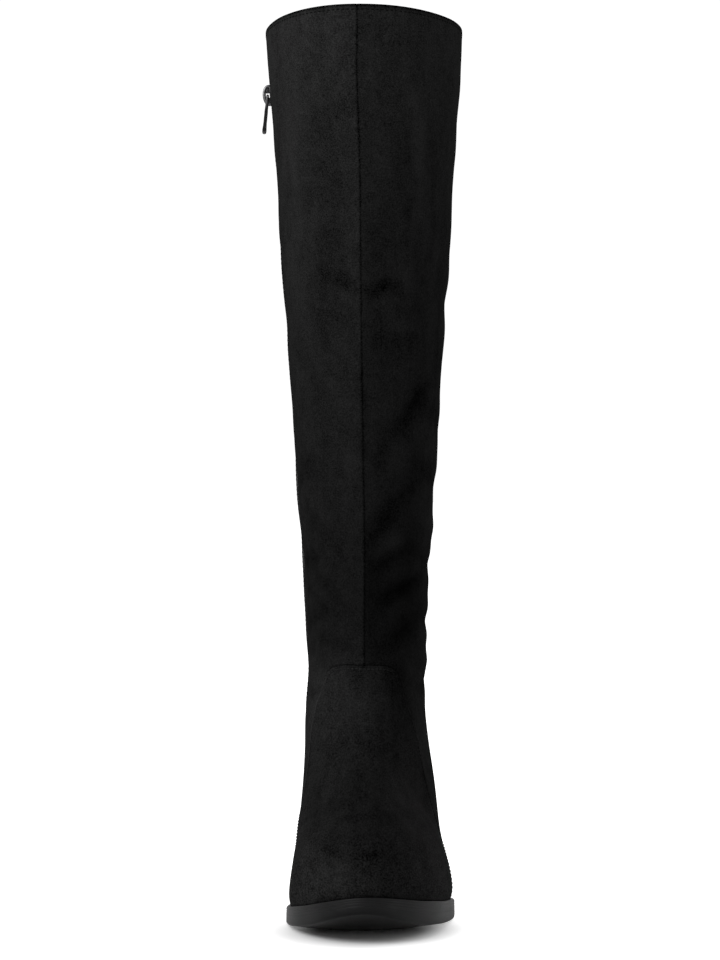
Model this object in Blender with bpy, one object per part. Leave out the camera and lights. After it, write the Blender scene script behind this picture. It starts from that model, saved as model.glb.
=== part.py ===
"""Over-the-knee boot for the left foot, with a block heel and a zip on its inner side.

The frame is in metres. The origin is the centre of the heel's floor face, the toe points
to -Y, +X is the lateral (outer) side, -X the medial (inner) side, and +Z is up.

The upper is lofted through sections that start at the feather line, where it meets the
sole, and climb over the toe, the instep and the ankle to the collar. A place on the upper
is given by a level (0 at the feather line, one more at each row of SECTIONS) and a turn
(0 at the front, a quarter turn on the lateral side, half a turn at the back).
"""

import math

import bmesh
import bpy
import numpy as np

MM = 0.001

# Driving dimensions, in millimetres.
SOLE_LENGTH = 255.0
BALL_WIDTH = 94.0
HEEL_BACK = 33.0
TOE_TIP = HEEL_BACK - SOLE_LENGTH
WALL = 1.8
GAP = 0.3

# The sole's underside: the toe spring, a flat tread, the waist and a straight heel seat.
# The toe spring starts along the line of the toe joints, which runs back to the lateral side.
TREAD_FRONT = -135.0
TREAD_FRONT_SLANT = 0.28
TREAD_BACK = -110.0
TOE_SPRING = 17.5
TOE_SPRING_POWER = 2.4
SEAT_FRONT = -14.0
SEAT_FRONT_HEIGHT = 50.6
SEAT_SLOPE = 0.2
HEEL_BREAST = -27.0

# y, height of the underside.
WAIST_LINE = (
    (TOE_TIP, 0.0),
    (TREAD_BACK, 0.0),
    (-93.0, 4.5),
    (-75.0, 15.0),
    (-50.0, 33.5),
    (-30.0, 45.0),
    (SEAT_FRONT, SEAT_FRONT_HEIGHT),
    (HEEL_BACK, SEAT_FRONT_HEIGHT + SEAT_SLOPE * (HEEL_BACK - SEAT_FRONT)),
)

# y, thickness of the sole.
SOLE_THICKNESS = (
    (TOE_TIP, 8.8),
    (-108.0, 8.8),
    (-75.0, 6.2),
    (-45.0, 4.8),
    (HEEL_BACK, 4.5),
)

# The sole's outline: share of the length from the toe tip, then the medial and the
# lateral edge as shares of half the ball width, from the boot's middle line.
SOLE_OUTLINE = (
    (0.00, 0.02, -0.02),
    (0.04, 0.45, 0.39),
    (0.10, 0.66, 0.63),
    (0.18, 0.84, 0.835),
    (0.28, 0.94, 0.985),
    (0.37, 0.92, 1.063),
    (0.48, 0.79, 1.015),
    (0.60, 0.65, 0.87),
    (0.72, 0.60, 0.725),
    (0.84, 0.62, 0.655),
    (0.93, 0.54, 0.55),
    (0.98, 0.31, 0.31),
    (1.00, 0.00, 0.00),
)
FEATHER_INSET = 2.5
FEATHER_GAP = 0.45

# Sections of the upper from the feather line to the collar, in millimetres:
#   front, front_z  where the section crosses the front middle line
#   back, back_z    where it crosses the back middle line
#   follow          how much of the sole's rise and fall it repeats, 0 to 1
#   foot            how much of the sole's outline it has, 0 to 1, against a plain oval
#   swell           how far it stands out past the feather line where it has that outline
#   fore, side, rear  half widths that shape the oval, from front to back
#   shift           how far the oval's middle lies to the lateral side
#   lean            how much further its front lies to the lateral side
#   roll            how much higher the lateral side is than the middle
SECTION_COLUMNS = (
    "front", "front_z", "back", "back_z", "follow", "foot",
    "swell", "fore", "side", "rear", "shift", "lean", "roll",
)
SECTIONS = (
    (-219.5, None, 31.0, None, 1.0, 1.00, 0.0, 52.0, 38.0, 46.0, 2.6, 0.0, 0.0),
    (-221.5, 32.5, 33.5, 71.0, 1.0, 0.97, 1.0, 52.0, 38.5, 46.0, 2.4, 0.0, 0.0),
    (-220.5, 41.0, 34.8, 78.5, 1.0, 0.88, 0.6, 51.5, 39.0, 46.0, 2.2, 0.0, 0.0),
    (-213.5, 50.0, 34.8, 85.5, 1.0, 0.68, -0.8, 49.5, 39.0, 46.0, 1.4, 0.0, 0.0),
    (-200.0, 57.0, 34.3, 92.0, 1.0, 0.44, -2.4, 46.0, 38.2, 45.5, 1.0, 0.0, 0.0),
    (-179.0, 63.0, 33.7, 98.5, 0.95, 0.18, -3.6, 39.5, 36.7, 45.0, 0.7, 0.0, 0.0),
    (-154.0, 70.0, 33.0, 105.0, 0.9, 0.04, -4.0, 33.5, 35.2, 44.0, 0.6, 0.0, 0.0),
    (-128.0, 80.5, 32.0, 112.0, 0.8, 0.0, -4.0, 30.5, 34.4, 42.5, 0.5, 0.0, 0.0),
    (-105.0, 95.5, 30.8, 119.5, 0.65, 0.0, -4.0, 29.5, 34.7, 41.0, 0.5, 0.0, 0.0),
    (-87.0, 115.0, 29.3, 129.0, 0.45, 0.0, -4.0, 29.5, 35.1, 39.5, 0.6, -0.2, 0.0),
    (-75.0, 138.0, 27.8, 143.0, 0.2, 0.0, -4.0, 31.5, 35.8, 38.0, 0.5, -0.5, 0.0),
    (-69.0, 164.0, 27.4, 164.0, 0.0, 0.0, -4.0, 34.0, 37.0, 38.0, 0.5, -0.8, 0.0),
    (-67.5, 200.0, 29.5, 200.0, 0.0, 0.0, -4.0, 36.5, 39.0, 39.5, 0.6, -1.0, 0.0),
    (-69.5, 260.0, 36.0, 260.0, 0.0, 0.0, -4.0, 41.0, 42.6, 43.0, 0.6, -1.3, 0.0),
    (-72.0, 320.0, 43.5, 320.0, 0.0, 0.0, -4.0, 45.5, 46.8, 47.0, 0.5, -1.7, 0.0),
    (-74.0, 380.0, 50.0, 380.0, 0.0, 0.0, -4.0, 49.5, 50.6, 51.0, 0.4, -2.1, 0.0),
    (-76.0, 440.0, 54.5, 440.0, 0.0, 0.0, -4.0, 53.5, 54.4, 54.8, 0.5, -2.6, 0.0),
    (-77.5, 487.0, 57.0, 487.0, 0.0, 0.0, -4.0, 56.8, 57.9, 58.0, 0.2, -3.0, 0.0),
    (-78.5, 523.2, 58.5, 512.0, 0.0, 0.0, -4.0, 55.0, 61.0, 60.2, -0.1, -3.3, 0.9),
)
OVAL_FULLNESS = 0.92
ROLL_POWER = 6

# The mesh of the upper.
RINGS_PER_LEVEL = (2, 2, 2, 2, 2, 2, 2, 2, 2, 2, 2, 2, 2, 2, 2, 2, 2, 1)
LATERAL_COLUMNS = 24
MEDIAL_FRONT_COLUMNS = 13
MEDIAL_BACK_COLUMNS = 9
HEEL_COLUMNS = 22
SOLE_COLUMNS = 80

# The zip, in millimetres and levels of SECTIONS. Foot and head are y and z of its line.
ZIP_FOOT = (-28.0, 96.0)
ZIP_HEAD = (-12.0, 487.0)
ZIP_LOW_LEVEL = 7.0
ZIP_TOP_LEVEL = 17.0
SLOT_WIDTH = 8.0
CHAIN_WIDTH = SLOT_WIDTH - 3.0 * GAP
CHAIN_THICKNESS = 1.4
CHAIN_DEPTH = 1.5
CHAIN_FOOT_GAP = 0.4

# The slider at rest, in millimetres. Proud and depth are measured from the upper's face.
SLIDER_HEIGHT = 479.5
SLIDER_LENGTH = 12.5
SLIDER_WIDTH = 7.0
SLIDER_PROUD = 0.3
SLIDER_DEPTH = 1.2
BACK_PLATE_THICKNESS = 1.1
BACK_PLATE_MARGIN = 0.6
PLATE_BEVEL = 0.3
POST_LENGTH = 3.0
POST_WIDTH = 2.4
JOIN_DEPTH = 0.5
BRIDGE_PROUD = 4.4
BRIDGE_THICKNESS = 1.4
BRIDGE_WIDTH = 2.8
BRIDGE_STEPS = 12
BRIDGE_FULLNESS = 0.7

# The pull turns on the bar at its top end, which lies under the bridge.
PULL_PIVOT_PROUD = 1.35
PULL_TILT = 5.5
PULL_EYE_START = 0.7
PULL_EYE_END = 8.4
PULL_EYE_WIDTH = 3.8

# distance below the pivot, width, thickness.
PULL_STATIONS = (
    (22.5, 3.4, 1.3),
    (21.7, 5.4, 2.3),
    (19.5, 5.6, 2.3),
    (18.0, 5.0, 1.4),
    (12.4, 5.0, 1.4),
    (9.6, 6.8, 1.4),
    (-0.3, 6.8, 1.4),
    (-0.7, 5.8, 1.0),
)

# The heel, its rubber tip and the footbed, in millimetres.
HEEL_FLOOR_LENGTH = 52.0
HEEL_FLOOR_WIDTH = 56.0
HEEL_CURVE = 0.8
HEEL_RINGS = 5
LIFT_THICKNESS = 6.0
EDGE_ROUND = 0.8
INSOLE_THICKNESS = 2.4


def smooth(knots, values, at):
    """Cubic curve through the knots that never overshoots them.

    The slope at a knot is the harmonic mean of the slopes on its two sides, or nothing
    where they have opposite signs.
    """
    knots = np.asarray(knots, float)
    values = np.asarray(values, float)
    chords = np.diff(values) / np.diff(knots)
    product = chords[:-1] * chords[1:]
    total = chords[:-1] + chords[1:]
    means = 2.0 * product / np.where(total == 0.0, 1.0, total)
    slopes = np.concatenate(([chords[0]], np.where(product > 0.0, means, 0.0), [chords[-1]]))
    return hermite(knots, values, slopes, at)


def spline(knots, values, at):
    """Cubic curve through the knots whose curvature is continuous and free at both ends."""
    knots = np.asarray(knots, float)
    values = np.asarray(values, float)
    gaps = np.diff(knots)
    chords = np.diff(values) / gaps
    count = len(knots)
    system = np.zeros((count, count))
    right = np.zeros(count)
    system[0, :2] = (2.0, 1.0)
    right[0] = 3.0 * chords[0]
    system[-1, -2:] = (1.0, 2.0)
    right[-1] = 3.0 * chords[-1]
    for i in range(1, count - 1):
        system[i, i - 1:i + 2] = (gaps[i], 2.0 * (gaps[i - 1] + gaps[i]), gaps[i - 1])
        right[i] = 3.0 * (gaps[i] * chords[i - 1] + gaps[i - 1] * chords[i])
    return hermite(knots, values, np.linalg.solve(system, right), at)


def hermite(knots, values, slopes, at):
    """Piecewise cubic with the given values and slopes at the knots."""
    at = np.clip(np.asarray(at, float), knots[0], knots[-1])
    i = np.clip(np.searchsorted(knots, at, side="right") - 1, 0, len(knots) - 2)
    gap = knots[i + 1] - knots[i]
    s = (at - knots[i]) / gap
    return (
        (2 * s**3 - 3 * s**2 + 1) * values[i]
        + (s**3 - 2 * s**2 + s) * gap * slopes[i]
        + (3 * s**2 - 2 * s**3) * values[i + 1]
        + (s**3 - s**2) * gap * slopes[i + 1]
    )


def sole_bottom(x, y):
    """Height of the sole's underside.

    In the toe it is a power of the distance past the slanted line of the toe joints, then
    it is flat, and a smooth curve climbs the waist to the straight seat.
    """
    past = TREAD_FRONT + TREAD_FRONT_SLANT * np.asarray(x, float) - np.asarray(y, float)
    toe = TOE_SPRING * np.maximum(past / (TREAD_FRONT - TOE_TIP), 0.0) ** TOE_SPRING_POWER
    stations, heights = zip(*WAIST_LINE)
    waist = smooth(stations, heights, np.minimum(y, SEAT_FRONT))
    seat = SEAT_SLOPE * np.maximum(y - SEAT_FRONT, 0.0)
    return toe + waist + seat


def sole_top(y):
    """Height of the sole's upper face, which doesn't repeat the slant of the underside."""
    stations, thickness = zip(*SOLE_THICKNESS)
    return sole_bottom(0.0, y) + smooth(stations, thickness, y)


def station_angle(share):
    """Angle round an oval at which a share of its length is passed: it rounds both ends."""
    return np.arccos(1.0 - 2.0 * np.asarray(share, float))


def sole_edge(angle, lateral):
    """Distance of the sole's edge from the middle line, at an angle from 0 (toe) to pi."""
    shares, medial_side, lateral_side = zip(*SOLE_OUTLINE)
    widths = lateral_side if lateral else medial_side
    return BALL_WIDTH / 2.0 * spline(station_angle(shares), widths, angle)


def signed_edge(turn):
    """x of the sole's edge at each turn, lateral side positive."""
    angle = 2.0 * np.pi * np.asarray(turn)
    folded = np.where(angle > np.pi, 2.0 * np.pi - angle, angle)
    return np.where(angle > np.pi, -sole_edge(folded, False), sole_edge(folded, True))


def section(level):
    """The columns of SECTIONS at each level, as a dict of arrays."""
    rows = np.arange(len(SECTIONS), dtype=float)
    found = {}
    for name, values in zip(SECTION_COLUMNS, zip(*SECTIONS)):
        if name == "front_z":
            values = (sole_top(SECTIONS[0][0]) + FEATHER_GAP,) + values[1:]
        if name == "back_z":
            values = (sole_top(SECTIONS[0][2]) + FEATHER_GAP,) + values[1:]
        curve = smooth if name in ("follow", "foot", "roll") else spline
        found[name] = curve(rows, values, level)
    return found


def upper_point(level, turn):
    """Points of the upper's outer face, in millimetres, for arrays of levels and turns.

    The section is an oval whose half width is a power of the sine of the angle, times a
    mean of its fore, side and rear widths. Low sections swap it for the sole's outline,
    and their height repeats the sole's.
    """
    level, turn = np.broadcast_arrays(np.asarray(level, float), np.asarray(turn, float) % 1.0)
    row = section(level)
    angle = 2.0 * np.pi * turn
    side = np.where(turn <= 0.5, 1.0, -1.0)
    back_share = (1.0 - np.cos(angle)) / 2.0
    front_share = 1.0 - back_share
    sine = np.abs(np.sin(angle))
    y = row["front"] + (row["back"] - row["front"]) * back_share
    oval = sine**OVAL_FULLNESS * (
        row["fore"] * front_share**2
        + 2.0 * row["side"] * front_share * back_share
        + row["rear"] * back_share**2
    )
    outline = signed_edge(turn) + side * (row["swell"] - FEATHER_INSET) * sine
    middle = row["shift"] + row["lean"] * front_share**2
    x = row["foot"] * outline + (1.0 - row["foot"]) * (middle + side * oval)
    ends = (
        (row["front_z"] - row["follow"] * sole_top(row["front"])) * front_share
        + (row["back_z"] - row["follow"] * sole_top(row["back"])) * back_share
    )
    z = ends + row["follow"] * sole_top(y) + row["roll"] * side * sine**ROLL_POWER
    return np.stack([x, y, z], axis=-1)


def ring_levels():
    """The levels at which the upper's mesh has a ring."""
    levels = [
        start + step / count
        for start, count in enumerate(RINGS_PER_LEVEL)
        for step in range(count)
    ]
    return np.array(levels + [len(RINGS_PER_LEVEL)])


def zip_turn(level):
    """Turn at which a section crosses the zip's line, which is straight from the side."""
    row = section(level)
    height = np.maximum((row["front_z"] + row["back_z"]) / 2.0, ZIP_FOOT[1])
    y = np.interp(height, (ZIP_FOOT[1], ZIP_HEAD[1]), (ZIP_FOOT[0], ZIP_HEAD[0]))
    share = (y - row["front"]) / (row["back"] - row["front"])
    return 1.0 - station_angle(share) / (2.0 * np.pi)


def slot_half_turn(level, width=SLOT_WIDTH):
    """Half the slot's width as a share of a turn, from the section's length along Y."""
    row = section(level)
    along = np.pi * (row["back"] - row["front"]) * np.abs(np.sin(2.0 * np.pi * zip_turn(level)))
    return width / 2.0 / along


def column_turns(level):
    """Turns of the columns of one ring, from the slot's front edge round to its back edge."""
    half = slot_half_turn(level)
    middle = zip_turn(level)
    medial_front = np.linspace(middle + half, 1.0, MEDIAL_FRONT_COLUMNS, endpoint=False)
    lateral = np.linspace(0.0, 0.5, LATERAL_COLUMNS, endpoint=False)
    medial_back = np.linspace(0.5, middle - half, MEDIAL_BACK_COLUMNS + 1)
    return np.concatenate([medial_front, lateral, medial_back])


def grid_faces(rings, columns, closed):
    """Quads between neighbouring rings, with the winding that faces outwards."""
    last = columns if closed else columns - 1
    faces = []
    for r in range(rings - 1):
        for c in range(last):
            following = (c + 1) % columns
            low = r * columns
            faces.append((low + c, low + following, low + columns + following, low + columns + c))
    return faces


def ladder_faces(first, columns, upwards):
    """Rungs across a closed outline whose columns pair up, lateral with medial.

    Column 0 is the toe and column columns / 2 the heel. Both ends close with a triangle.
    """
    faces = []
    half = columns // 2
    for c in range(half):
        lateral, lateral_next = first + c, first + c + 1
        medial, medial_next = first + (columns - c) % columns, first + columns - c - 1
        if c == 0:
            face = (lateral, lateral_next, medial_next)
        elif c == half - 1:
            face = (lateral, lateral_next, medial)
        else:
            face = (lateral, lateral_next, medial_next, medial)
        faces.append(face if upwards else face[::-1])
    return faces


def material(name, colour, roughness, metallic=0.0):
    made = bpy.data.materials.new(name)
    made.use_nodes = True
    shader = made.node_tree.nodes["Principled BSDF"]
    shader.inputs["Base Color"].default_value = (*colour, 1.0)
    shader.inputs["Roughness"].default_value = roughness
    shader.inputs["Metallic"].default_value = metallic
    made.diffuse_color = (*colour, 1.0)
    return made


def add_object(name, points, faces, finish, parent, sharp=40.0):
    """An object from points in millimetres, with its smooth faces split at sharp edges."""
    mesh = bpy.data.meshes.new(name)
    mesh.from_pydata((np.asarray(points, float) * MM).tolist(), [], faces)
    mesh.materials.append(finish)
    mesh.shade_smooth()
    mesh.set_sharp_from_angle(angle=math.radians(sharp))
    made = bpy.data.objects.new(name, mesh)
    bpy.context.scene.collection.objects.link(made)
    made.parent = parent
    return made


def solidify(made, thickness):
    """Thickens a skin inwards, with its open edges closed."""
    wall = made.modifiers.new("wall", "SOLIDIFY")
    wall.thickness = thickness * MM
    wall.offset = -1.0
    wall.use_even_offset = True
    wall.use_rim = True


def make_upper(finish, parent):
    levels = ring_levels()
    rings = [upper_point(level, column_turns(level)) for level in levels]
    columns = len(rings[0])
    faces = grid_faces(len(rings), columns, closed=True)
    in_slot = (levels >= ZIP_LOW_LEVEL) & (levels < ZIP_TOP_LEVEL)
    kept = [
        face
        for i, face in enumerate(faces)
        if not (in_slot[i // columns] and i % columns == columns - 1)
    ]
    skin = add_object("upper", np.concatenate(rings), kept, finish, parent)
    solidify(skin, WALL)
    return skin


def inward_normals(grid):
    """Unit normals of a grid of points, pointing into the boot."""
    along = np.gradient(grid, axis=0)
    across = np.gradient(grid, axis=1)
    normals = np.cross(along, across)
    return normals / np.linalg.norm(normals, axis=-1, keepdims=True)


def zip_point(level):
    """Points of the zip's line on the upper's outer face."""
    return upper_point(level, zip_turn(level))


def level_at_height(height):
    """Level at which the zip's line reaches a height."""
    levels = np.linspace(ZIP_LOW_LEVEL, ZIP_TOP_LEVEL, 2001)
    return float(np.interp(height, zip_point(levels)[:, 2], levels))


def make_zip_chain(finish, parent):
    """The tape and coil: a strip sunk in the slot, which ends under the slider."""
    slider_level = level_at_height(SLIDER_HEIGHT)
    levels = ring_levels()
    inner = levels[(levels > ZIP_LOW_LEVEL) & (levels < slider_level)]
    first_row = np.linalg.norm(zip_point(ZIP_LOW_LEVEL + 1.0) - zip_point(ZIP_LOW_LEVEL))
    foot_level = ZIP_LOW_LEVEL + CHAIN_FOOT_GAP / first_row
    levels = np.concatenate([[foot_level], inner, [slider_level]])
    half = slot_half_turn(levels, CHAIN_WIDTH)
    turns = zip_turn(levels)[:, None] + half[:, None] * np.array([-1.0, 0.0, 1.0])
    grid = upper_point(levels[:, None], turns)
    grid = grid + CHAIN_DEPTH * inward_normals(grid)
    strip = add_object(
        "zip_chain",
        grid.reshape(-1, 3),
        grid_faces(len(levels), 3, closed=False),
        finish,
        parent,
    )
    solidify(strip, CHAIN_THICKNESS)
    return strip


def breast_turn():
    """Turn at which the sole's outline passes the heel's breast."""
    return float(station_angle((HEEL_BREAST - TOE_TIP) / SOLE_LENGTH)) / (2.0 * np.pi)


def outline_ring(inset, height, columns=SOLE_COLUMNS):
    """The sole's outline drawn in by an inset, at a height that is a function of x and y."""
    turns = np.arange(columns) / columns
    x = signed_edge(turns)
    y = TOE_TIP + SOLE_LENGTH * (1.0 - np.cos(2.0 * np.pi * turns)) / 2.0
    plan = np.stack([x, y], axis=-1)
    tangent = np.roll(plan, -1, axis=0) - np.roll(plan, 1, axis=0)
    inward = np.stack([-tangent[:, 1], tangent[:, 0]], axis=-1)
    inward = inward / np.linalg.norm(inward, axis=-1, keepdims=True)
    plan = plan + inset * inward
    return np.column_stack([plan, height(plan[:, 0], plan[:, 1])])


def stacked_solid(name, rings, finish, parent):
    """A closed solid from rings that climb, each with paired columns, capped by ladders."""
    columns = len(rings[0])
    faces = grid_faces(len(rings), columns, closed=True)
    faces += ladder_faces(0, columns, upwards=False)
    faces += ladder_faces(columns * (len(rings) - 1), columns, upwards=True)
    return add_object(name, np.concatenate(rings), faces, finish, parent)


def make_outsole(finish, parent):
    rings = [
        outline_ring(EDGE_ROUND, sole_bottom),
        outline_ring(0.0, lambda x, y: sole_bottom(x, y) + EDGE_ROUND),
        outline_ring(0.0, lambda x, y: sole_top(y) - EDGE_ROUND / 2.0),
        outline_ring(EDGE_ROUND / 2.0, lambda x, y: sole_top(y)),
    ]
    return stacked_solid("outsole", rings, finish, parent)


def make_insole(finish, parent):
    inset = FEATHER_INSET + WALL + 2.0 * GAP
    top = GAP + INSOLE_THICKNESS
    lifts = ((0.0, GAP), (0.0, top - EDGE_ROUND), (EDGE_ROUND, top))
    rings = [
        outline_ring(inset + more, lambda x, y, up=lift: sole_top(y) + up)
        for more, lift in lifts
    ]
    return stacked_solid("insole", rings, finish, parent)


def heel_ring(drop, height, inset=0.0, columns=HEEL_COLUMNS):
    """The heel's outline, a flat breast and a round back.

    The drop is 0 at the seat, where it has the sole's outline, and 1 at the floor.
    Columns run from the middle of the breast round the lateral side to the back.
    """
    turns = np.linspace(breast_turn(), 1.0 - breast_turn(), columns - 1)
    seat_x = signed_edge(turns)
    seat_y = TOE_TIP + SOLE_LENGTH * (1.0 - np.cos(2.0 * np.pi * turns)) / 2.0
    share = (seat_y - HEEL_BREAST) / (HEEL_BACK - HEEL_BREAST)
    floor_y = HEEL_FLOOR_LENGTH * (share - 0.5)
    floor_x = seat_x * HEEL_FLOOR_WIDTH / np.ptp(seat_x)
    floor_x = floor_x - (floor_x.max() + floor_x.min()) / 2.0
    x = seat_x + (floor_x - seat_x) * drop
    y = seat_y + (floor_y - seat_y) * drop
    middle = np.array([[0.0, y[0]]])
    plan = np.concatenate([middle, np.column_stack([x, y])])
    centre = np.array([0.0, (y.max() + y.min()) / 2.0])
    plan = plan + inset * np.sign(centre - plan)
    return np.column_stack([plan, height(plan[:, 0], plan[:, 1])])


def make_heel(finish, parent):
    """The block: its sides curve in a little faster near the seat than near the floor."""
    floor = LIFT_THICKNESS + GAP
    rings = [
        heel_ring(
            share**HEEL_CURVE,
            lambda x, y, s=share: s * floor + (1.0 - s) * (sole_bottom(x, y) - GAP),
        )
        for share in np.linspace(1.0, 0.0, HEEL_RINGS)
    ]
    return stacked_solid("heel", rings, finish, parent)


def make_top_lift(finish, parent):
    heights = ((0.0, EDGE_ROUND), (EDGE_ROUND, 0.0), (LIFT_THICKNESS, 0.0))
    rings = [
        heel_ring(1.0, lambda x, y, up=height: np.full_like(y, up), inset)
        for height, inset in heights
    ]
    return stacked_solid("top_lift", rings, finish, parent)


def add_box(name, low, high, finish, parent, bevel=0.0):
    """A box between two corners in its parent's frame, with beveled edges."""
    mesh = bmesh.new()
    bmesh.ops.create_cube(mesh, size=1.0)
    low, high = np.array(low), np.array(high)
    for vertex in mesh.verts:
        vertex.co = ((low + high) / 2.0 + np.array(vertex.co) * (high - low)) * MM
    if bevel:
        bmesh.ops.bevel(
            mesh, geom=mesh.edges[:], offset=bevel * MM, segments=2, profile=0.5, affect="EDGES"
        )
    data = bpy.data.meshes.new(name)
    mesh.to_mesh(data)
    mesh.free()
    data.materials.append(finish)
    made = bpy.data.objects.new(name, data)
    bpy.context.scene.collection.objects.link(made)
    made.parent = parent
    return made


def add_boolean(made, other, operation):
    """Joins or cuts with a helper that is not part of the model itself."""
    step = made.modifiers.new(other.name, "BOOLEAN")
    step.operation = operation
    step.object = other
    step.solver = "EXACT"
    other.hide_render = True
    other.display_type = "WIRE"


def make_bridge(finish, parent):
    """The slider's bridge: a bar bent into an arch over the plate, its feet inside it."""
    steps = np.linspace(0.0, np.pi, BRIDGE_STEPS + 1)
    arch = np.sin(steps)**BRIDGE_FULLNESS
    half_length = SLIDER_LENGTH / 2.0
    outer_x = -BRIDGE_PROUD * arch
    outer_z = -half_length * np.cos(steps)
    inner_x = -(BRIDGE_PROUD - BRIDGE_THICKNESS) * arch
    inner_z = -(half_length - BRIDGE_THICKNESS) * np.cos(steps)
    half = BRIDGE_WIDTH / 2.0
    corners = ((outer_x, -half, outer_z), (outer_x, half, outer_z),
               (inner_x, half, inner_z), (inner_x, -half, inner_z))
    rings = np.stack(
        [np.stack([x, np.full_like(x, y), z], axis=-1) for x, y, z in corners], axis=1
    )
    faces = grid_faces(len(steps), 4, closed=True)
    last = 4 * (len(steps) - 1)
    faces += [(3, 2, 1, 0), (last, last + 1, last + 2, last + 3)]
    return add_object("slider_bridge_shape", rings.reshape(-1, 3), faces, finish, parent)


def make_zip_slider(finish, parent):
    """Outer plate, post and inner plate clasp the chain's end, and the bridge is on top."""
    half_length = SLIDER_LENGTH / 2.0
    half_width = SLIDER_WIDTH / 2.0
    half_post = POST_WIDTH / 2.0
    behind_chain = CHAIN_DEPTH + CHAIN_THICKNESS + GAP
    slider = add_box(
        "zip_slider",
        (-SLIDER_PROUD, -half_width, -half_length),
        (SLIDER_DEPTH, half_width, half_length),
        finish, parent, bevel=PLATE_BEVEL,
    )
    post = add_box(
        "slider_post_shape",
        (SLIDER_DEPTH - JOIN_DEPTH, -half_post, GAP),
        (behind_chain + JOIN_DEPTH, half_post, GAP + POST_LENGTH),
        finish, parent,
    )
    half_width -= BACK_PLATE_MARGIN
    half_length -= BACK_PLATE_MARGIN
    back_plate = add_box(
        "slider_back_shape",
        (behind_chain, -half_width, -half_length),
        (behind_chain + BACK_PLATE_THICKNESS, half_width, half_length),
        finish, parent, bevel=PLATE_BEVEL,
    )
    for helper in (post, back_plate, make_bridge(finish, parent)):
        add_boolean(slider, helper, "UNION")
    return slider


def make_zip_pull(finish, parent):
    """A flat tab that hangs from a bar through the bridge, with an eye round the bridge.

    Its own origin is the pivot, and it is tilted a little away from the leg.
    """
    below, width, thickness = (np.array(column) for column in zip(*PULL_STATIONS))
    points = [
        (x * thick / 2.0, y * wide / 2.0, -down)
        for down, wide, thick in zip(below, width, thickness)
        for x, y in ((-1, -1), (1, -1), (1, 1), (-1, 1))
    ]
    faces = grid_faces(len(PULL_STATIONS), 4, closed=True)
    last = 4 * (len(PULL_STATIONS) - 1)
    faces += [(3, 2, 1, 0), (last, last + 1, last + 2, last + 3)]
    pull = add_object("zip_pull", points, faces, finish, parent, sharp=25.0)
    half_eye = PULL_EYE_WIDTH / 2.0
    eye = add_box(
        "pull_eye_shape",
        (-thickness.max(), -half_eye, -PULL_EYE_END),
        (thickness.max(), half_eye, -PULL_EYE_START),
        finish, pull,
    )
    add_boolean(pull, eye, "DIFFERENCE")
    return pull


def add_empty(name, parent=None):
    made = bpy.data.objects.new(name, None)
    bpy.context.scene.collection.objects.link(made)
    made.parent = parent
    return made


def zip_frame(parent):
    """An empty on the zip's line at the slider, with its Z axis up along the leg."""
    level = level_at_height(SLIDER_HEIGHT)
    place = zip_point(level)
    above = zip_point(level_at_height(SLIDER_HEIGHT + SLIDER_LENGTH / 2.0))
    below = zip_point(level_at_height(SLIDER_HEIGHT - SLIDER_LENGTH / 2.0))
    frame = add_empty("zip_frame", parent)
    frame.location = tuple(place * MM)
    frame.rotation_euler[1] = math.atan2(above[0] - below[0], above[2] - below[2])
    return frame


def main():
    for existing in list(bpy.data.objects):
        bpy.data.objects.remove(existing, do_unlink=True)

    suede = material("black_suede", (0.012, 0.012, 0.013), 0.9)
    resin = material("dark_sole_resin", (0.035, 0.035, 0.036), 0.45)
    stack = material("black_heel_stack", (0.022, 0.022, 0.023), 0.5)
    rubber = material("black_rubber", (0.015, 0.015, 0.015), 0.7)
    board = material("footbed_lining", (0.03, 0.03, 0.03), 0.8)
    tape = material("black_zip_coil", (0.01, 0.01, 0.01), 0.5)
    metal = material("gunmetal", (0.06, 0.06, 0.065), 0.3, 1.0)

    boot = add_empty("boot")
    make_upper(suede, boot)
    make_outsole(resin, boot)
    make_insole(board, boot)
    make_heel(stack, boot)
    make_top_lift(rubber, boot)
    make_zip_chain(tape, boot)
    slider_frame = zip_frame(boot)
    make_zip_slider(metal, slider_frame)
    pull = make_zip_pull(metal, slider_frame)
    pull.location = (-PULL_PIVOT_PROUD * MM, 0.0, 0.0)
    pull.rotation_euler[1] = math.radians(PULL_TILT) - slider_frame.rotation_euler[1]


main()
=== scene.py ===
# %% [markdown]
# # A black over-the-knee boot in faux suede, left foot
# This lesson dresses a solid model of a boot. The solids give the places and sizes: an upper,
# a sole, a stacked heel, a footbed and a zip. Here each gets the surface that a maker would
# see on the bench: suede panels with seams and folds, a lining, thread, a nylon coil, a sole
# unit with fine lines along its edge. Every surface is a formula on a grid of two parameters.

# %% Load the fixed frame
import math

import bmesh
import bpy
import numpy as np
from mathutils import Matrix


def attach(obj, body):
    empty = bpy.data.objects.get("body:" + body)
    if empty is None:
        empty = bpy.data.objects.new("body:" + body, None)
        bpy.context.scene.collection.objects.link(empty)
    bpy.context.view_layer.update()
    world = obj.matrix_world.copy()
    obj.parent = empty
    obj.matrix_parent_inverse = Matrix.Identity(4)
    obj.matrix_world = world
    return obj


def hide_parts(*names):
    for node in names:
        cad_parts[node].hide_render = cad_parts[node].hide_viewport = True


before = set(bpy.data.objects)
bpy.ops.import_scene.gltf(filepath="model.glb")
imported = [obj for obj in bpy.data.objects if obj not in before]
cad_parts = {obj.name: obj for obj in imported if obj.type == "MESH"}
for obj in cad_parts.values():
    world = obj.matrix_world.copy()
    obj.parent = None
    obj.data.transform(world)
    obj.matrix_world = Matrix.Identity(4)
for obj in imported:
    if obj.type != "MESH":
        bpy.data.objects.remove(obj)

MM = 0.001
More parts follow.
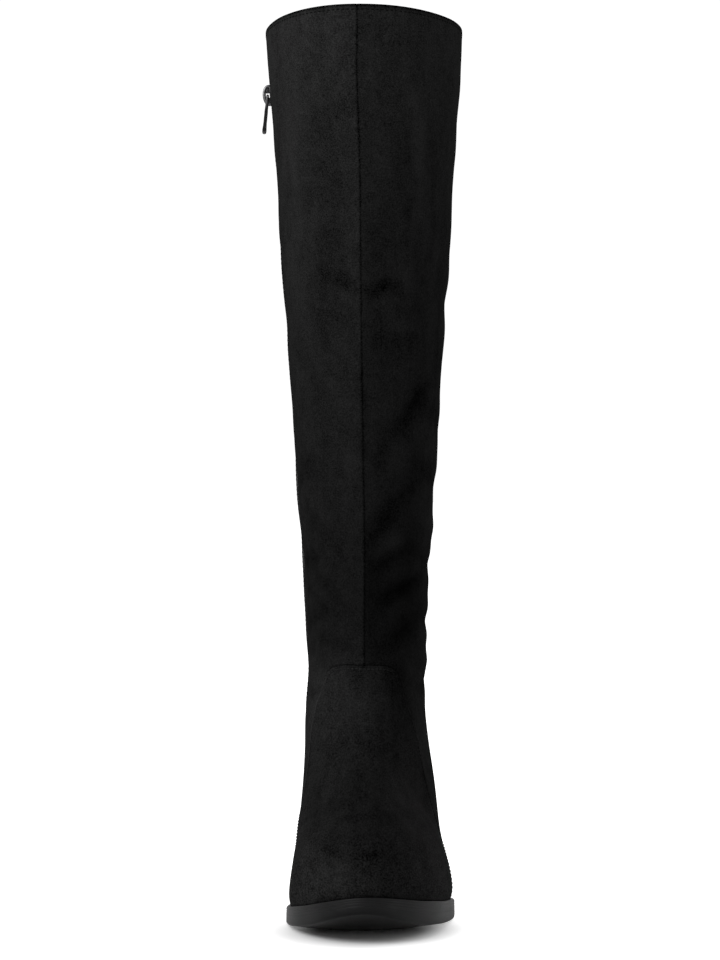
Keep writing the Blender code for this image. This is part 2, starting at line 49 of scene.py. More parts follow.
# A full turn in radians.
TAU = 2.0 * np.pi
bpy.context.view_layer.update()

# %% [markdown]
# ## The sole's lines
# A maker starts from the last: its outline on paper, the toe spring, and the pitch of the
# heel. We could trace the frame's mesh, but it is coarse, so we work the same curves out
# again and sample them as finely as a piece needs. Two curve formulas are enough: one that
# never overshoots its points, for heights, and one with continuous curvature, for outlines.

# %% Two curves through points
def hermite(knots, values, slopes, at):
    """Piecewise cubic with the given values and slopes at the knots."""
    at = np.clip(np.asarray(at, float), knots[0], knots[-1])
    i = np.clip(np.searchsorted(knots, at, side="right") - 1, 0, len(knots) - 2)
    gap = knots[i + 1] - knots[i]
    s = (at - knots[i]) / gap
    return (
        (2 * s**3 - 3 * s**2 + 1) * values[i]
        + (s**3 - 2 * s**2 + s) * gap * slopes[i]
        + (3 * s**2 - 2 * s**3) * values[i + 1]
        + (s**3 - s**2) * gap * slopes[i + 1]
    )


def smooth(knots, values, at):
    """Cubic that never overshoots: each slope is the harmonic mean of its two neighbours."""
    knots = np.asarray(knots, float)
    values = np.asarray(values, float)
    chords = np.diff(values) / np.diff(knots)
    product = chords[:-1] * chords[1:]
    total = chords[:-1] + chords[1:]
    means = 2.0 * product / np.where(total == 0.0, 1.0, total)
    slopes = np.concatenate(([chords[0]], np.where(product > 0.0, means, 0.0), [chords[-1]]))
    return hermite(knots, values, slopes, at)


def spline(knots, values, at):
    """Cubic with continuous curvature: its slopes solve one row of equations a knot."""
    knots = np.asarray(knots, float)
    values = np.asarray(values, float)
    gaps = np.diff(knots)
    chords = np.diff(values) / gaps
    count = len(knots)
    system = np.zeros((count, count))
    right = np.zeros(count)
    system[0, :2] = (2.0, 1.0)
    right[0] = 3.0 * chords[0]
    system[-1, -2:] = (1.0, 2.0)
    right[-1] = 3.0 * chords[-1]
    inner = np.arange(1, count - 1)
    system[inner, inner - 1] = gaps[1:]
    system[inner, inner] = 2.0 * (gaps[:-1] + gaps[1:])
    system[inner, inner + 1] = gaps[:-1]
    right[inner] = 3.0 * (gaps[1:] * chords[:-1] + gaps[:-1] * chords[1:])
    return hermite(knots, values, np.linalg.solve(system, right), at)
print("halfway up a smooth step from 0 to 1:", float(smooth((0.0, 1.0), (0.0, 1.0), 0.5)))

# %% Sizes of the sole, in millimetres
BALL_WIDTH = 94.0
HEEL_BACK = 33.0
TOE_TIP = -222.0
SOLE_LENGTH = HEEL_BACK - TOE_TIP
TREAD_FRONT = -135.0
TREAD_FRONT_SLANT = 0.28
TREAD_BACK = -110.0
TOE_SPRING = 17.5
TOE_SPRING_POWER = 2.4
SEAT_FRONT = -14.0
SEAT_FRONT_HEIGHT = 50.6
SEAT_SLOPE = 0.2
HEEL_BREAST = -27.0

# y, height of the underside.
WAIST_LINE = (
    (TOE_TIP, 0),
    (TREAD_BACK, 0),
    (-93, 4.5),
    (-75, 15),
    (-50, 33.5),
    (-30, 45),
    (SEAT_FRONT, SEAT_FRONT_HEIGHT),
    (HEEL_BACK, SEAT_FRONT_HEIGHT + SEAT_SLOPE * (HEEL_BACK - SEAT_FRONT)),
)

# y, thickness of the sole on its middle line, greater under the toes than in the frame.
SOLE_THICKNESS = (
    (TOE_TIP, 8.8),
    (-198, 12),
    (-175, 13.2),
    (-150, 12),
    (-127, 10.2),
    (-108, 8.8),
    (-75, 6.2),
    (-45, 4.8),
    (HEEL_BACK, 4.5),
)
TOP_SLANT = 0.036
SLANT_RANGE = (-135, -85)

# share of the length from the toe tip, medial edge, lateral edge, as shares of half the
# ball width from the boot's middle line.
SOLE_OUTLINE = (
    (0, 0.02, -0.02),
    (0.04, 0.45, 0.39),
    (0.10, 0.66, 0.63),
    (0.18, 0.84, 0.835),
    (0.28, 0.94, 0.985),
    (0.37, 0.92, 1.063),
    (0.48, 0.79, 1.015),
    (0.60, 0.65, 0.87),
    (0.72, 0.60, 0.725),
    (0.84, 0.62, 0.655),
    (0.93, 0.54, 0.55),
    (0.98, 0.31, 0.31),
    (1, 0, 0),
)
# where the tread starts to rise: its place on the middle line, slant and curve across.
RISE_FRONT = -150.0
RISE_SLANT = 0.19
RISE_CURVE = 0.022
FEATHER_INSET = 2.5
FEATHER_GAP = 0.45
print("sole:", SOLE_LENGTH, "mm long,", BALL_WIDTH, "mm wide over the toe joints")


# %% Heights and edge of the sole
def sole_bottom(x, y):
    """Height of the underside: a power past the toe joints' slanted line, a flat, a waist."""
    past = TREAD_FRONT + TREAD_FRONT_SLANT * np.asarray(x, float) - np.asarray(y, float)
    toe = TOE_SPRING * np.maximum(past / (TREAD_FRONT - TOE_TIP), 0.0) ** TOE_SPRING_POWER
    stations, heights = zip(*WAIST_LINE)
    waist = smooth(stations, heights, np.minimum(y, SEAT_FRONT))
    seat = SEAT_SLOPE * np.maximum(y - SEAT_FRONT, 0.0)
    return toe + waist + seat


def sole_top(x, y):
    """Height of the upper face: the underside's middle line, the thickness, and a slant.

    The slant raises the outer side in front of the toe joints and fades behind them.
    """
    stations, thickness = zip(*SOLE_THICKNESS)
    slope = TOP_SLANT * smooth(SLANT_RANGE, (1.0, 0.0), y)
    return sole_bottom(0.0, y) + smooth(stations, thickness, y) + slope * np.asarray(x, float)


def sole_under(x, y):
    """Height of the finished underside: its rise starts on a curve that wraps the forefoot."""
    x, y = np.asarray(x, float), np.asarray(y, float)
    start = RISE_FRONT + RISE_SLANT * x + RISE_CURVE * x**2
    past = np.maximum(start - y, 0.0) / (start - TOE_TIP)
    toe = TOE_SPRING * past**TOE_SPRING_POWER
    return toe + sole_bottom(x, np.maximum(y, TREAD_BACK))


def station_angle(share):
    """Angle round an oval at which a share of its length is passed: arccos(1 - 2 share)."""
    return np.arccos(1.0 - 2.0 * np.asarray(share, float))


def sole_edge(angle, lateral):
    """Distance of the edge from the middle line at an angle from 0 (toe) to pi (heel)."""
    shares, medial_side, lateral_side = zip(*SOLE_OUTLINE)
    widths = lateral_side if lateral else medial_side
    return BALL_WIDTH / 2.0 * spline(station_angle(shares), widths, angle)


def signed_edge(turn):
    """x of the sole's edge at each turn: the lateral side is positive."""
    angle = TAU * (np.asarray(turn) % 1.0)
    folded = np.where(angle > np.pi, TAU - angle, angle)
    return np.where(angle > np.pi, -sole_edge(folded, False), sole_edge(folded, True))


def outline_plan(turns):
    """Plan of the sole's edge: y runs from toe to heel as (1 - cos angle) / 2."""
    y = TOE_TIP + SOLE_LENGTH * (1.0 - np.cos(TAU * turns)) / 2.0
    return np.column_stack([signed_edge(turns), y])


print("underside at the heel's middle:", round(float(sole_bottom(0.0, 0.0)), 1), "mm up")

# %% [markdown]
# ## The upper as one formula
# On the bench the upper is flat leather pulled over a last. Here it is a stack of sections:
# each is an oval whose front, side and back widths differ, and near the sole it turns into
# the sole's own outline. A place on it has a level, which grows with each row of the table
# from the feather line to the collar, and a turn, from the front round the outer side.

# %% Table of the upper's sections
# front, front_z: where the section crosses the front middle line; back, back_z: the same at
# the back. follow: how much of the sole's rise and fall it repeats. foot: how much of the
# sole's outline it has. swell: how far it stands out there. fore, side, rear: half widths
# that shape the oval. shift, lean: how far its middle and its front lie to the outer side.
# roll: how much higher the outer side is.
SECTION_COLUMNS = (
    "front", "front_z", "back", "back_z", "follow", "foot",
    "swell", "fore", "side", "rear", "shift", "lean", "roll",
)
SECTIONS = (
    (-219.5, None, 31, None, 1, 1, 0, 52, 38, 46, 2.6, 0, 0),
    (-221.5, 32.5, 33.5, 71, 1, 0.97, 1, 52, 38.5, 46, 2.4, 0, 0),
    (-220.5, 41, 34.8, 78.5, 1, 0.88, 0.6, 51.5, 39, 46, 2.2, 0, 0),
    (-213.5, 50, 34.8, 85.5, 1, 0.68, -0.8, 49.5, 39, 46, 1.4, 0, 0),
    (-200, 57, 34.3, 92, 1, 0.44, -2.4, 46, 38.2, 45.5, 1, 0, 0),
    (-179, 63, 33.7, 98.5, 0.95, 0.18, -3.6, 39.5, 36.7, 45, 0.7, 0, 0),
    (-154, 70, 33, 105, 0.9, 0.04, -4, 33.5, 35.2, 44, 0.6, 0, 0),
    (-128, 80.5, 32, 112, 0.8, 0, -4, 30.5, 34.4, 42.5, 0.5, 0, 0),
    (-105, 95.5, 30.8, 119.5, 0.65, 0, -4, 29.5, 34.7, 41, 0.5, 0, 0),
    (-87, 115, 29.3, 129, 0.45, 0, -4, 29.5, 35.1, 39.5, 0.6, -0.2, 0),
    (-75, 138, 27.8, 143, 0.2, 0, -4, 31.5, 35.8, 38, 0.5, -0.5, 0),
    (-69, 164, 27.4, 164, 0, 0, -4, 34, 37, 38, 0.5, -0.8, 0),
    (-67.5, 200, 29.5, 200, 0, 0, -4, 36.5, 39, 39.5, 0.6, -1, 0),
    (-69.5, 260, 36, 260, 0, 0, -4, 41, 42.6, 43, 0.6, -1.3, 0),
    (-72, 320, 43.5, 320, 0, 0, -4, 45.5, 46.8, 47, 0.5, -1.7, 0),
    (-74, 380, 50, 380, 0, 0, -4, 49.5, 50.6, 51, 0.4, -2.1, 0),
    (-76, 440, 54.5, 440, 0, 0, -4, 53.5, 54.4, 54.8, 0.5, -2.6, 0),
    (-77.5, 487, 57, 487, 0, 0, -4, 56.8, 57.9, 58, 0.2, -3, 0),
    (-78.5, 523.2, 58.5, 512, 0, 0, -4, 55, 61, 60.2, -0.1, -3.3, 0.9),
)
COLLAR_LEVEL = len(SECTIONS) - 1.0
OVAL_FULLNESS = 0.92
ROLL_POWER = 6
print("sections from the feather line to the collar:", len(SECTIONS))


# %% A place on the upper
def section(level):
    """The columns of SECTIONS at each level, as a dict of arrays."""
    rows = np.arange(len(SECTIONS), dtype=float)
    found = {}
    for name, values in zip(SECTION_COLUMNS, zip(*SECTIONS)):
        if name == "front_z":
            values = (sole_top(0.0, SECTIONS[0][0]) + FEATHER_GAP,) + values[1:]
        if name == "back_z":
            values = (sole_top(0.0, SECTIONS[0][2]) + FEATHER_GAP,) + values[1:]
        curve = smooth if name in ("follow", "foot", "roll") else spline
        found[name] = curve(rows, values, level)
    return found


def last_point(level, turn):
    """Points of the bare upper in millimetres.

    y runs from front to back as (1 - cos angle) / 2. The half width is a power of the sine
    times a mean of the fore, side and rear widths, and low down it is the sole's outline.
    """
    level, turn = np.broadcast_arrays(np.asarray(level, float), np.asarray(turn, float) % 1.0)
    row = section(level)
    angle = TAU * turn
    side = np.where(turn <= 0.5, 1.0, -1.0)
    back_share = (1.0 - np.cos(angle)) / 2.0
    front_share = 1.0 - back_share
    sine = np.abs(np.sin(angle))
    y = row["front"] + (row["back"] - row["front"]) * back_share
    oval = sine**OVAL_FULLNESS * (
        row["fore"] * front_share**2
        + 2.0 * row["side"] * front_share * back_share
        + row["rear"] * back_share**2
    )
    outline = signed_edge(turn) + side * (row["swell"] - FEATHER_INSET) * sine
    middle = row["shift"] + row["lean"] * front_share**2
    x = row["foot"] * outline + (1.0 - row["foot"]) * (middle + side * oval)
    ends = (
        (row["front_z"] - row["follow"] * sole_top(0.0, row["front"])) * front_share
        + (row["back_z"] - row["follow"] * sole_top(0.0, row["back"])) * back_share
    )
    z = ends + row["follow"] * sole_top(x, y) + row["roll"] * side * sine**ROLL_POWER
    return np.stack([x, y, z], axis=-1)


def unit(vectors):
    """Vectors scaled to length one along the last axis."""
    return vectors / np.maximum(np.linalg.norm(vectors, axis=-1, keepdims=True), 1e-12)


LEVEL_STEP = 0.03
TURN_STEP = 0.002


def last_normal(level, turn):
    """Outward normal: the cross product of the steps along the turn and up the levels."""
    level, turn = np.asarray(level, float), np.asarray(turn, float)
    above = last_point(np.minimum(level + LEVEL_STEP, COLLAR_LEVEL), turn)
    below = last_point(np.maximum(level - LEVEL_STEP, 0.0), turn)
    along = last_point(level, turn + TURN_STEP) - last_point(level, turn - TURN_STEP)
    return unit(np.cross(along, above - below))


print("front of the collar in mm:", np.round(last_point(COLLAR_LEVEL, 0.0), 1).tolist())

# %% [markdown]
# ## Where the panels are cut
# The boot is cut from faux suede: a vamp over the toes, and quarters that run up into the
# shaft, joined at the centre front and the centre back. The vamp lies on top of the quarters
# and its edge draws an upside-down U over the instep. On the inner side a slot is left for
# the zip. We write each seam as a curve on the upper's two parameters, so that a mesh can
# have a column or a row exactly along it.

# %% Table of the seams
# level, then how far the vamp's edge lies before (inner side) and after (outer side) the
# front, in turns.
VAMP_EDGE = (
    (0, 0.203, 0.202),
    (1, 0.205, 0.205),
    (2, 0.208, 0.208),
    (2.90, 0.212, 0.212),
    (3.60, 0.215, 0.215),
    (4.40, 0.218, 0.217),
    (5.20, 0.222, 0.217),
    (6.30, 0.223, 0.206),
    (7.50, 0.209, 0.180),
    (8.05, 0.195, 0.162),
    (8.64, 0.175, 0.142),
    (9.22, 0.150, 0.118),
    (9.50, 0.135, 0.108),
    (9.78, 0.118, 0.096),
)
CORNER_LEVEL = VAMP_EDGE[-1][0]
TONGUE_LEVEL = 10.05
TONGUE_SQUARENESS = 4.0

# height above the floor, x of the centre-front seam from the upper's front line.
FRONT_SEAM = (
    (138, -0.7),
    (212, -0.2),
    (250, -0.6),
    (340, -1.2),
    (422, -1.35),
    (457, -2.1),
    (486, -2.8),
    (510, -1.9),
)
ZIP_FOOT = (-28.0, 96.0)
ZIP_HEAD = (-12.0, 487.0)
ZIP_LEVELS = (7.0, 17.0)
SLOT_WIDTH = 8.0
SHORT_TURN = 0.001
print("zip's slot:", SLOT_WIDTH, "mm wide, from", ZIP_FOOT[1], "to", ZIP_HEAD[1], "mm up")


# %% Seams as turns at a level
def round_length(level, turn):
    """Millimetres a turn at a place: the length of a short step over the step's turn."""
    step = last_point(level, np.asarray(turn) + SHORT_TURN) - last_point(level, turn)
    return np.linalg.norm(step, axis=-1) / SHORT_TURN


def vamp_turns(level):
    """Turns of the vamp's edge before and after the front, fixed above the corners."""
    levels, inner, outer = zip(*VAMP_EDGE)
    level = np.minimum(level, CORNER_LEVEL)
    return spline(levels, inner, level), spline(levels, outer, level)


def front_seam_turn(level):
    """Turn of the centre-front seam: its x from the front line over the length of a turn."""
    heights, offsets = zip(*FRONT_SEAM)
    return smooth(heights, offsets, section(level)["front_z"]) / round_length(level, 0.0)


def zip_turn(level):
    """Turn at which a section crosses the zip, a straight line when seen from the side."""
    row = section(level)
    height = np.maximum((row["front_z"] + row["back_z"]) / 2.0, ZIP_FOOT[1])
    y = np.interp(height, (ZIP_FOOT[1], ZIP_HEAD[1]), (ZIP_FOOT[0], ZIP_HEAD[0]))
    share = (y - row["front"]) / (row["back"] - row["front"])
    return 1.0 - station_angle(share) / TAU


def slot_half_turn(level, width=SLOT_WIDTH):
    """Half the slot's width in turns."""
    return width / 2.0 / round_length(level, zip_turn(level))


print("vamp's edge at the instep, in turns:", np.round(vamp_turns(8.0), 3))

# %% [markdown]
# ## Folds
# Suede on an empty shaft is never a perfect tube: it bags above the ankle, breaks into short
# slanting folds on the outer side, and keeps the crease of the toe joints. Sculpting would do
# it, but a table of folds can be moved by a millimetre and gives the same boot every time.
# A fold is a path drawn as seen from one side, laid on the surface, with a width and a
# height: a ridge is positive and a hollow negative.

# %% Table of folds
# By view: path of two coordinates as seen there, half width, height, in millimetres.
FOLDS = {
    "front": (
        (((-30, 371), (-18, 366), (-6, 361), (5, 358)), 4.6, -0.85),
        (((-38, 286), (-34, 272), (-29, 261)), 6, 0.7),
        (((-21, 309), (-15, 297), (-9, 288)), 5.5, 0.6),
        (((-13, 269), (-8, 260), (-4, 250)), 4.5, 0.5),
        (((-33, 196), (-24, 186), (-14, 174)), 3.6, -0.8),
        (((-34, 184), (-26, 174), (-18, 166)), 3.6, -0.7),
        (((-36, 232), (-28, 220), (-18, 212)), 5.5, -0.5),
        (((-30, 158), (-18, 153), (-6, 150)), 4, -0.6),
        (((-42, 330), (-36, 318), (-30, 300)), 6, -0.5),
        (((1, 350), (8, 359), (16, 361), (27, 356)), 4.2, -1.3),
        (((17, 343), (22, 337), (27, 331)), 6.5, 0.8),
        (((29, 486), (31, 440), (32, 393)), 6, 0.5),
        (((39, 310), (30, 293), (23, 281), (16, 268)), 6.5, -1.6),
        (((24, 272), (20, 262), (16, 249)), 5.5, 0.9),
        (((36, 256), (26, 242), (16, 230), (8, 218), (2, 208)), 6, -1.45),
        (((18, 219), (17, 212), (13, 205)), 5.5, 0.8),
        (((27, 209), (20, 205), (12, 200), (3, 193)), 3.8, -1.15),
        (((35, 193), (27, 187), (17, 181), (5, 175)), 4.2, -1.4),
        (((30, 198), (20, 193), (8, 187)), 3.4, 0.5),
        (((30, 178), (20, 172), (10, 166)), 4.4, 0.7),
        (((36, 168), (26, 160), (15, 152), (7, 142)), 5.2, -1.05),
        (((3, 338), (5, 296), (4, 250), (5, 212)), 3.2, 0.5),
    ),
    "top": (
        (((-20, -199), (-8, -204), (2, -205), (9, -202)), 3.4, -0.22),
        (((19, -200), (24, -195), (29, -189)), 3.2, -0.28),
        (((-22, -150), (-8, -156), (8, -155)), 5, -0.12),
        (((-16, -122), (-2, -127), (12, -124)), 4.5, -0.12),
    ),
    "outer": (
        (((-62, 212), (-44, 202), (-22, 197), (-4, 200)), 5, -1.2),
        (((-60, 232), (-40, 224), (-18, 220), (6, 226)), 5.5, 0.8),
        (((-58, 176), (-38, 166), (-16, 163), (6, 168)), 4.6, -1.2),
        (((-60, 150), (-40, 142), (-20, 140), (-2, 146)), 4.2, 0.7),
        (((-64, 128), (-46, 124), (-26, 126), (-8, 134)), 4, -0.9),
        (((-58, 262), (-34, 248), (-8, 246)), 6, -1.1),
        (((-60, 300), (-36, 284), (-10, 276)), 6.5, -0.9),
        (((-30, 372), (-10, 352), (14, 344)), 7, -0.7),
        (((2, 128), (14, 122), (24, 124)), 4, -0.6),
    ),
    "inner": (
        (((-58, 208), (-44, 200), (-26, 198)), 5, -1.1),
        (((-60, 174), (-46, 165), (-30, 162)), 4.6, -1.1),
        (((-60, 148), (-46, 141), (-32, 142)), 4.2, 0.6),
        (((-62, 126), (-50, 122), (-38, 124)), 4, -0.8),
        (((-8, 212), (6, 206), (20, 208)), 5.5, -0.9),
        (((-10, 176), (4, 168), (18, 168)), 4.8, -1.1),
        (((-8, 142), (6, 136), (18, 138)), 4.4, -0.8),
        (((-56, 262), (-40, 250), (-24, 246)), 6, -0.8),
        (((6, 300), (20, 288), (32, 286)), 7, -0.7),
    ),
    "back": (
        (((-24, 214), (-10, 206), (8, 205), (24, 212)), 5.5, -1.3),
        (((-26, 192), (-8, 186), (10, 186), (26, 192)), 5, 0.8),
        (((-24, 174), (-8, 166), (10, 165), (24, 172)), 4.8, -1.4),
        (((-22, 152), (-6, 147), (10, 147), (22, 152)), 4.4, 0.7),
        (((-20, 136), (-6, 130), (8, 129), (20, 135)), 4.2, -1.1),
        (((-34, 262), (-16, 250), (4, 246)), 6.5, -0.9),
        (((30, 292), (14, 280), (-4, 276)), 7, -0.8),
        (((-30, 352), (-12, 342), (10, 344)), 8, -0.6),
    ),
}
print("folds:", {view: len(rows) for view, rows in FOLDS.items()})

# %% Brushed places, painted fold shade and waves
# Where the nap was brushed another way, and where the light or shade of a fold or crease is painted
# in, by view: path, half width, shade.
BRUSHED_AND_SHADED = {
    "front": (
        (((-44, 505), (-46, 440), (-42, 350)), 15, 0.16),
        (((-16, 462), (-19, 420), (-21, 345)), 10, -0.22),
        (((-8, 432), (-7, 408), (-8, 390)), 4.5, 0.14),
        (((30, 470), (33, 440), (32, 400)), 4, 0.2),
        (((9, 392), (11, 380), (10, 366)), 7, -0.2),
        (((47, 400), (44, 340), (41, 290)), 6, -0.3),
        (((20, 376), (22, 368), (23, 360)), 5, 0.22),
        (((10, 332), (17, 328), (26, 330)), 8, -0.2),
        (((24, 170), (22, 160), (19, 150)), 10, -0.12),
        (((10, 210), (22, 207), (34, 208)), 6, 0.3),
        (((-26, 130), (-16, 124), (-6, 116)), 13, 0.12),
        (((14, 130), (22, 124), (26, 112)), 9, -0.25),
        (((33, 108), (35, 102), (36, 98)), 4, 0.22),
        (((31, 148), (35, 135), (37, 122)), 6, -0.35),
        (((-27, 94), (-23, 92), (-19, 91)), 5, -0.25),
        (((-24, 48), (-8, 47), (8, 48)), 2.4, -0.32),
        (((18, 46), (24, 42), (31, 37)), 1.6, 0.28),
        (((18, 136), (20, 120), (22, 100)), 5, -0.22),
        (((-28, 38), (-14, 36), (0, 36)), 7, 0.22),
    ),
    "outer": (
        (((-30, 500), (-34, 420), (-30, 340)), 14, 0.1),
        (((14, 470), (20, 400), (16, 330)), 12, -0.12),
        (((-150, 42), (-120, 48), (-90, 56)), 12, 0.12),
    ),
    "inner": (
        (((-52, 460), (-54, 380), (-48, 300)), 10, 0.12),
        (((24, 440), (30, 360), (24, 280)), 11, -0.14),
        (((-140, 44), (-110, 52), (-84, 60)), 12, 0.12),
    ),
    "back": (
        (((-22, 480), (-26, 400), (-22, 320)), 12, 0.12),
        (((20, 420), (24, 350), (18, 280)), 11, -0.14),
    ),
}

# Soft waves of the empty shaft: wavelength and height in millimetres, and slope of their way.
WAVES = (
    (74, 0.30, 0.55),
    (51, 0.24, -0.8),
    (37, 0.17, 0.95),
    (26, 0.11, -0.45),
    (18, 0.07, 0.7),
)
# Each wave's way is turned from the last one's, in radians, and so is its start.
FIRST_HEADING = 0.7
HEADING_STEP = 2.4
START_STEP = 1.9
print("brushed:", {view: len(rows) for view, rows in BRUSHED_AND_SHADED.items()})

# %% Lay the folds on the surface
# view: the two axes it is drawn on, the axis it looks along, and which side faces it.
VIEWS = {
    "front": ((0, 2), 1, -1.0),
    "back": ((0, 2), 1, 1.0),
    "top": ((0, 1), 2, 1.0),
    "outer": ((1, 2), 0, 1.0),
    "inner": ((1, 2), 0, -1.0),
}
FACING_LIMIT = 0.15
PATH_SAMPLES = 36
PATH_DEGREE = 3
LOOKUP_ROWS = 217
LOOKUP_COLUMNS = 280


def lay_path(view, marks):
    """Points on the upper nearest to a drawn path as seen from one side.

    The marks are joined by a spline. Each sample takes the nearest place that faces the
    view, and a cubic fitted to the samples makes the laid path smooth.
    """
    axes, facing, sign = VIEWS[view]
    marks = np.asarray(marks, float)
    along = np.linspace(0.0, 1.0, PATH_SAMPLES)
    knots = np.linspace(0.0, 1.0, len(marks))
    drawn = np.stack([spline(knots, marks[:, axis], along) for axis in (0, 1)], axis=-1)
    seen = lookup_points[sign * lookup_normals[:, facing] > FACING_LIMIT]
    gaps = np.linalg.norm(seen[None, :, axes] - drawn[:, None, :], axis=-1)
    laid = seen[gaps.argmin(axis=1)]
    cubic = np.polynomial.polynomial.polyfit(along, laid, PATH_DEGREE)
    return np.polynomial.polynomial.polyval(along, cubic).T


lookup_levels, lookup_turns = np.meshgrid(
    np.linspace(0.0, COLLAR_LEVEL, LOOKUP_ROWS),
    np.arange(LOOKUP_COLUMNS) / LOOKUP_COLUMNS,
    indexing="ij",
)
lookup_points = last_point(lookup_levels, lookup_turns).reshape(-1, 3)
lookup_normals = last_normal(lookup_levels, lookup_turns).reshape(-1, 3)
laid_folds, laid_patches_and_shade = (
    [
        (lay_path(view, marks), width, size)
        for view, rows in table.items()
        for marks, width, size in rows
    ]
    for table in (FOLDS, BRUSHED_AND_SHADED)
)
print("laid:", len(laid_folds), "folds and", len(laid_patches_and_shade), "brushed places")

# %% Folds, waves, brush marks and painted fold shade
SIDE_HOLLOW = 0.3
END_FADE = 0.7
# How many half widths away a fold or a brush mark is still felt.
FOLD_REACH = 4.0
BRUSH_REACH = 3.0


def path_distance(points, path, reach):
    """Distance of points from a sampled path, infinite past the reach, and share passed."""
    flat = points.reshape(-1, 3)
    distance = np.full(len(flat), np.inf)
    share = np.zeros(len(flat))
    near = np.all((flat > path.min(axis=0) - reach) & (flat < path.max(axis=0) + reach), axis=1)
    if near.any():
        gaps = np.linalg.norm(flat[near][:, None, :] - path[None, :, :], axis=-1)
        distance[near] = gaps.min(axis=1)
        share[near] = gaps.argmin(axis=1) / (len(path) - 1.0)
    return distance.reshape(points.shape[:-1]), share.reshape(points.shape[:-1])


def bell(distance, width):
    """1 at distance 0, falling off as e to the power of minus (distance / width) squared."""
    return np.exp(-((distance / width) ** 2))


def waves(points):
    """Sum of sines along fixed slanting directions, one for each wavelength."""
    total = np.zeros(points.shape[:-1])
    for i, (length, height, slope) in enumerate(WAVES):
        heading = HEADING_STEP * i + FIRST_HEADING
        way = np.array([math.cos(heading), math.sin(heading), slope])
        total += height * np.sin(TAU * (points @ way) / length + START_STEP * i)
    return total


def folds(points):
    """Sum of the folds: a bell across each path, less a fainter bell beside it."""
    total = np.zeros(points.shape[:-1])
    for path, width, height in laid_folds:
        distance, share = path_distance(points, path, FOLD_REACH * width)
        fade = np.sin(np.pi * np.clip(share, 0.0, 1.0)) ** END_FADE
        beside = bell(distance - 2.0 * width, width)
        total += height * fade * (bell(distance, width) - SIDE_HOLLOW * beside)
    return total


def brush_marks_and_shade(points):
    """Sum of the brushed places and the painted fold shade: a bell across each path."""
    total = np.zeros(points.shape[:-1])
    for path, width, shade in laid_patches_and_shade:
        distance, _ = path_distance(points, path, BRUSH_REACH * width)
        total += shade * bell(distance, width)
    return total


print("shade of the nap on the toe:", round(float(brush_marks_and_shade(last_point(1.5, 0.0))), 3))

# %% The vamp's edge as a path
EDGE_SAMPLES = 520


def passed_lengths(path):
    """Length of a path passed at each of its points, from 0."""
    steps = np.linalg.norm(np.diff(path, axis=0), axis=1)
    return np.concatenate([[0.0], np.cumsum(steps)])


def tongue_level(turn):
    """Level of the vamp's edge between its two upper corners.

    It rises from the corner's to the tongue's by 1 - w^4, where w is the share of the way
    out to a corner.
    """
    inner, outer = vamp_turns(CORNER_LEVEL)
    share = np.where(turn >= 0.0, turn / outer, -turn / inner)
    rise = 1.0 - np.clip(share, 0.0, 1.0) ** TONGUE_SQUARENESS
    return CORNER_LEVEL + (TONGUE_LEVEL - CORNER_LEVEL) * rise


def vamp_outline():
    """Levels and turns of the vamp's edge, from the outer foot over the tongue to the inner."""
    legs = np.linspace(0.0, CORNER_LEVEL, EDGE_SAMPLES // 2)
    inner, outer = vamp_turns(legs)
    across = np.linspace(outer[-1], -inner[-1], EDGE_SAMPLES // 4)[1:-1]
    levels = np.concatenate([legs, tongue_level(across), legs[::-1]])
    turns = np.concatenate([outer, across, -inner[::-1]])
    return levels, turns


edge_levels, edge_turns = vamp_outline()
edge_path = last_point(edge_levels, edge_turns)
print("vamp's edge is", round(float(passed_lengths(edge_path)[-1])), "mm long")

# %% Height of the suede over the last
# Millimetres that the last level before the collar is tall.
COLLAR_LEVEL_HEIGHT = 33.5
# Folds fade out to this share over this many millimetres under the collar, and to nothing
# over this many levels above the sole.
COLLAR_FOLDS = 0.25
COLLAR_FADE = 26.0
FEATHER_FADE = 1.1
COLLAR_STITCH = 2.3
# half width and depth of the joined seams and of the collar's stitched line, in millimetres.
JOINED_SEAM = (0.6, 0.55)
COLLAR_SEAM = (0.6, 0.2)
# Each seam has two low shoulders: their place and width in half widths, and their height.
SHOULDER = (2.6, 1.5, 0.28)
# The front seam comes out from under the tongue from this share of its rise.
SEAM_START = 0.8
SEAM_FADE = 0.2
# Painted shade of the folds: lighter on a ridge, darker in a hollow.
FOLD_SHADE = 0.4
SEAM_LINE = 0.5
SEAM_DARKNESS = 0.8
# The collar's edge gets a thin line of painted shade, where the rolled edge turns away from the
# light.
RIM_LINE = 0.9
COLLAR_EDGE_SHADE = 0.9


def seam_groove(distance, width, depth):
    """A narrow valley at a seam with two low shoulders, by distance in millimetres."""
    place, spread, height = SHOULDER
    shoulder = bell(np.abs(distance) - place * width, spread * width)
    return depth * (-bell(distance, width) + height * shoulder)


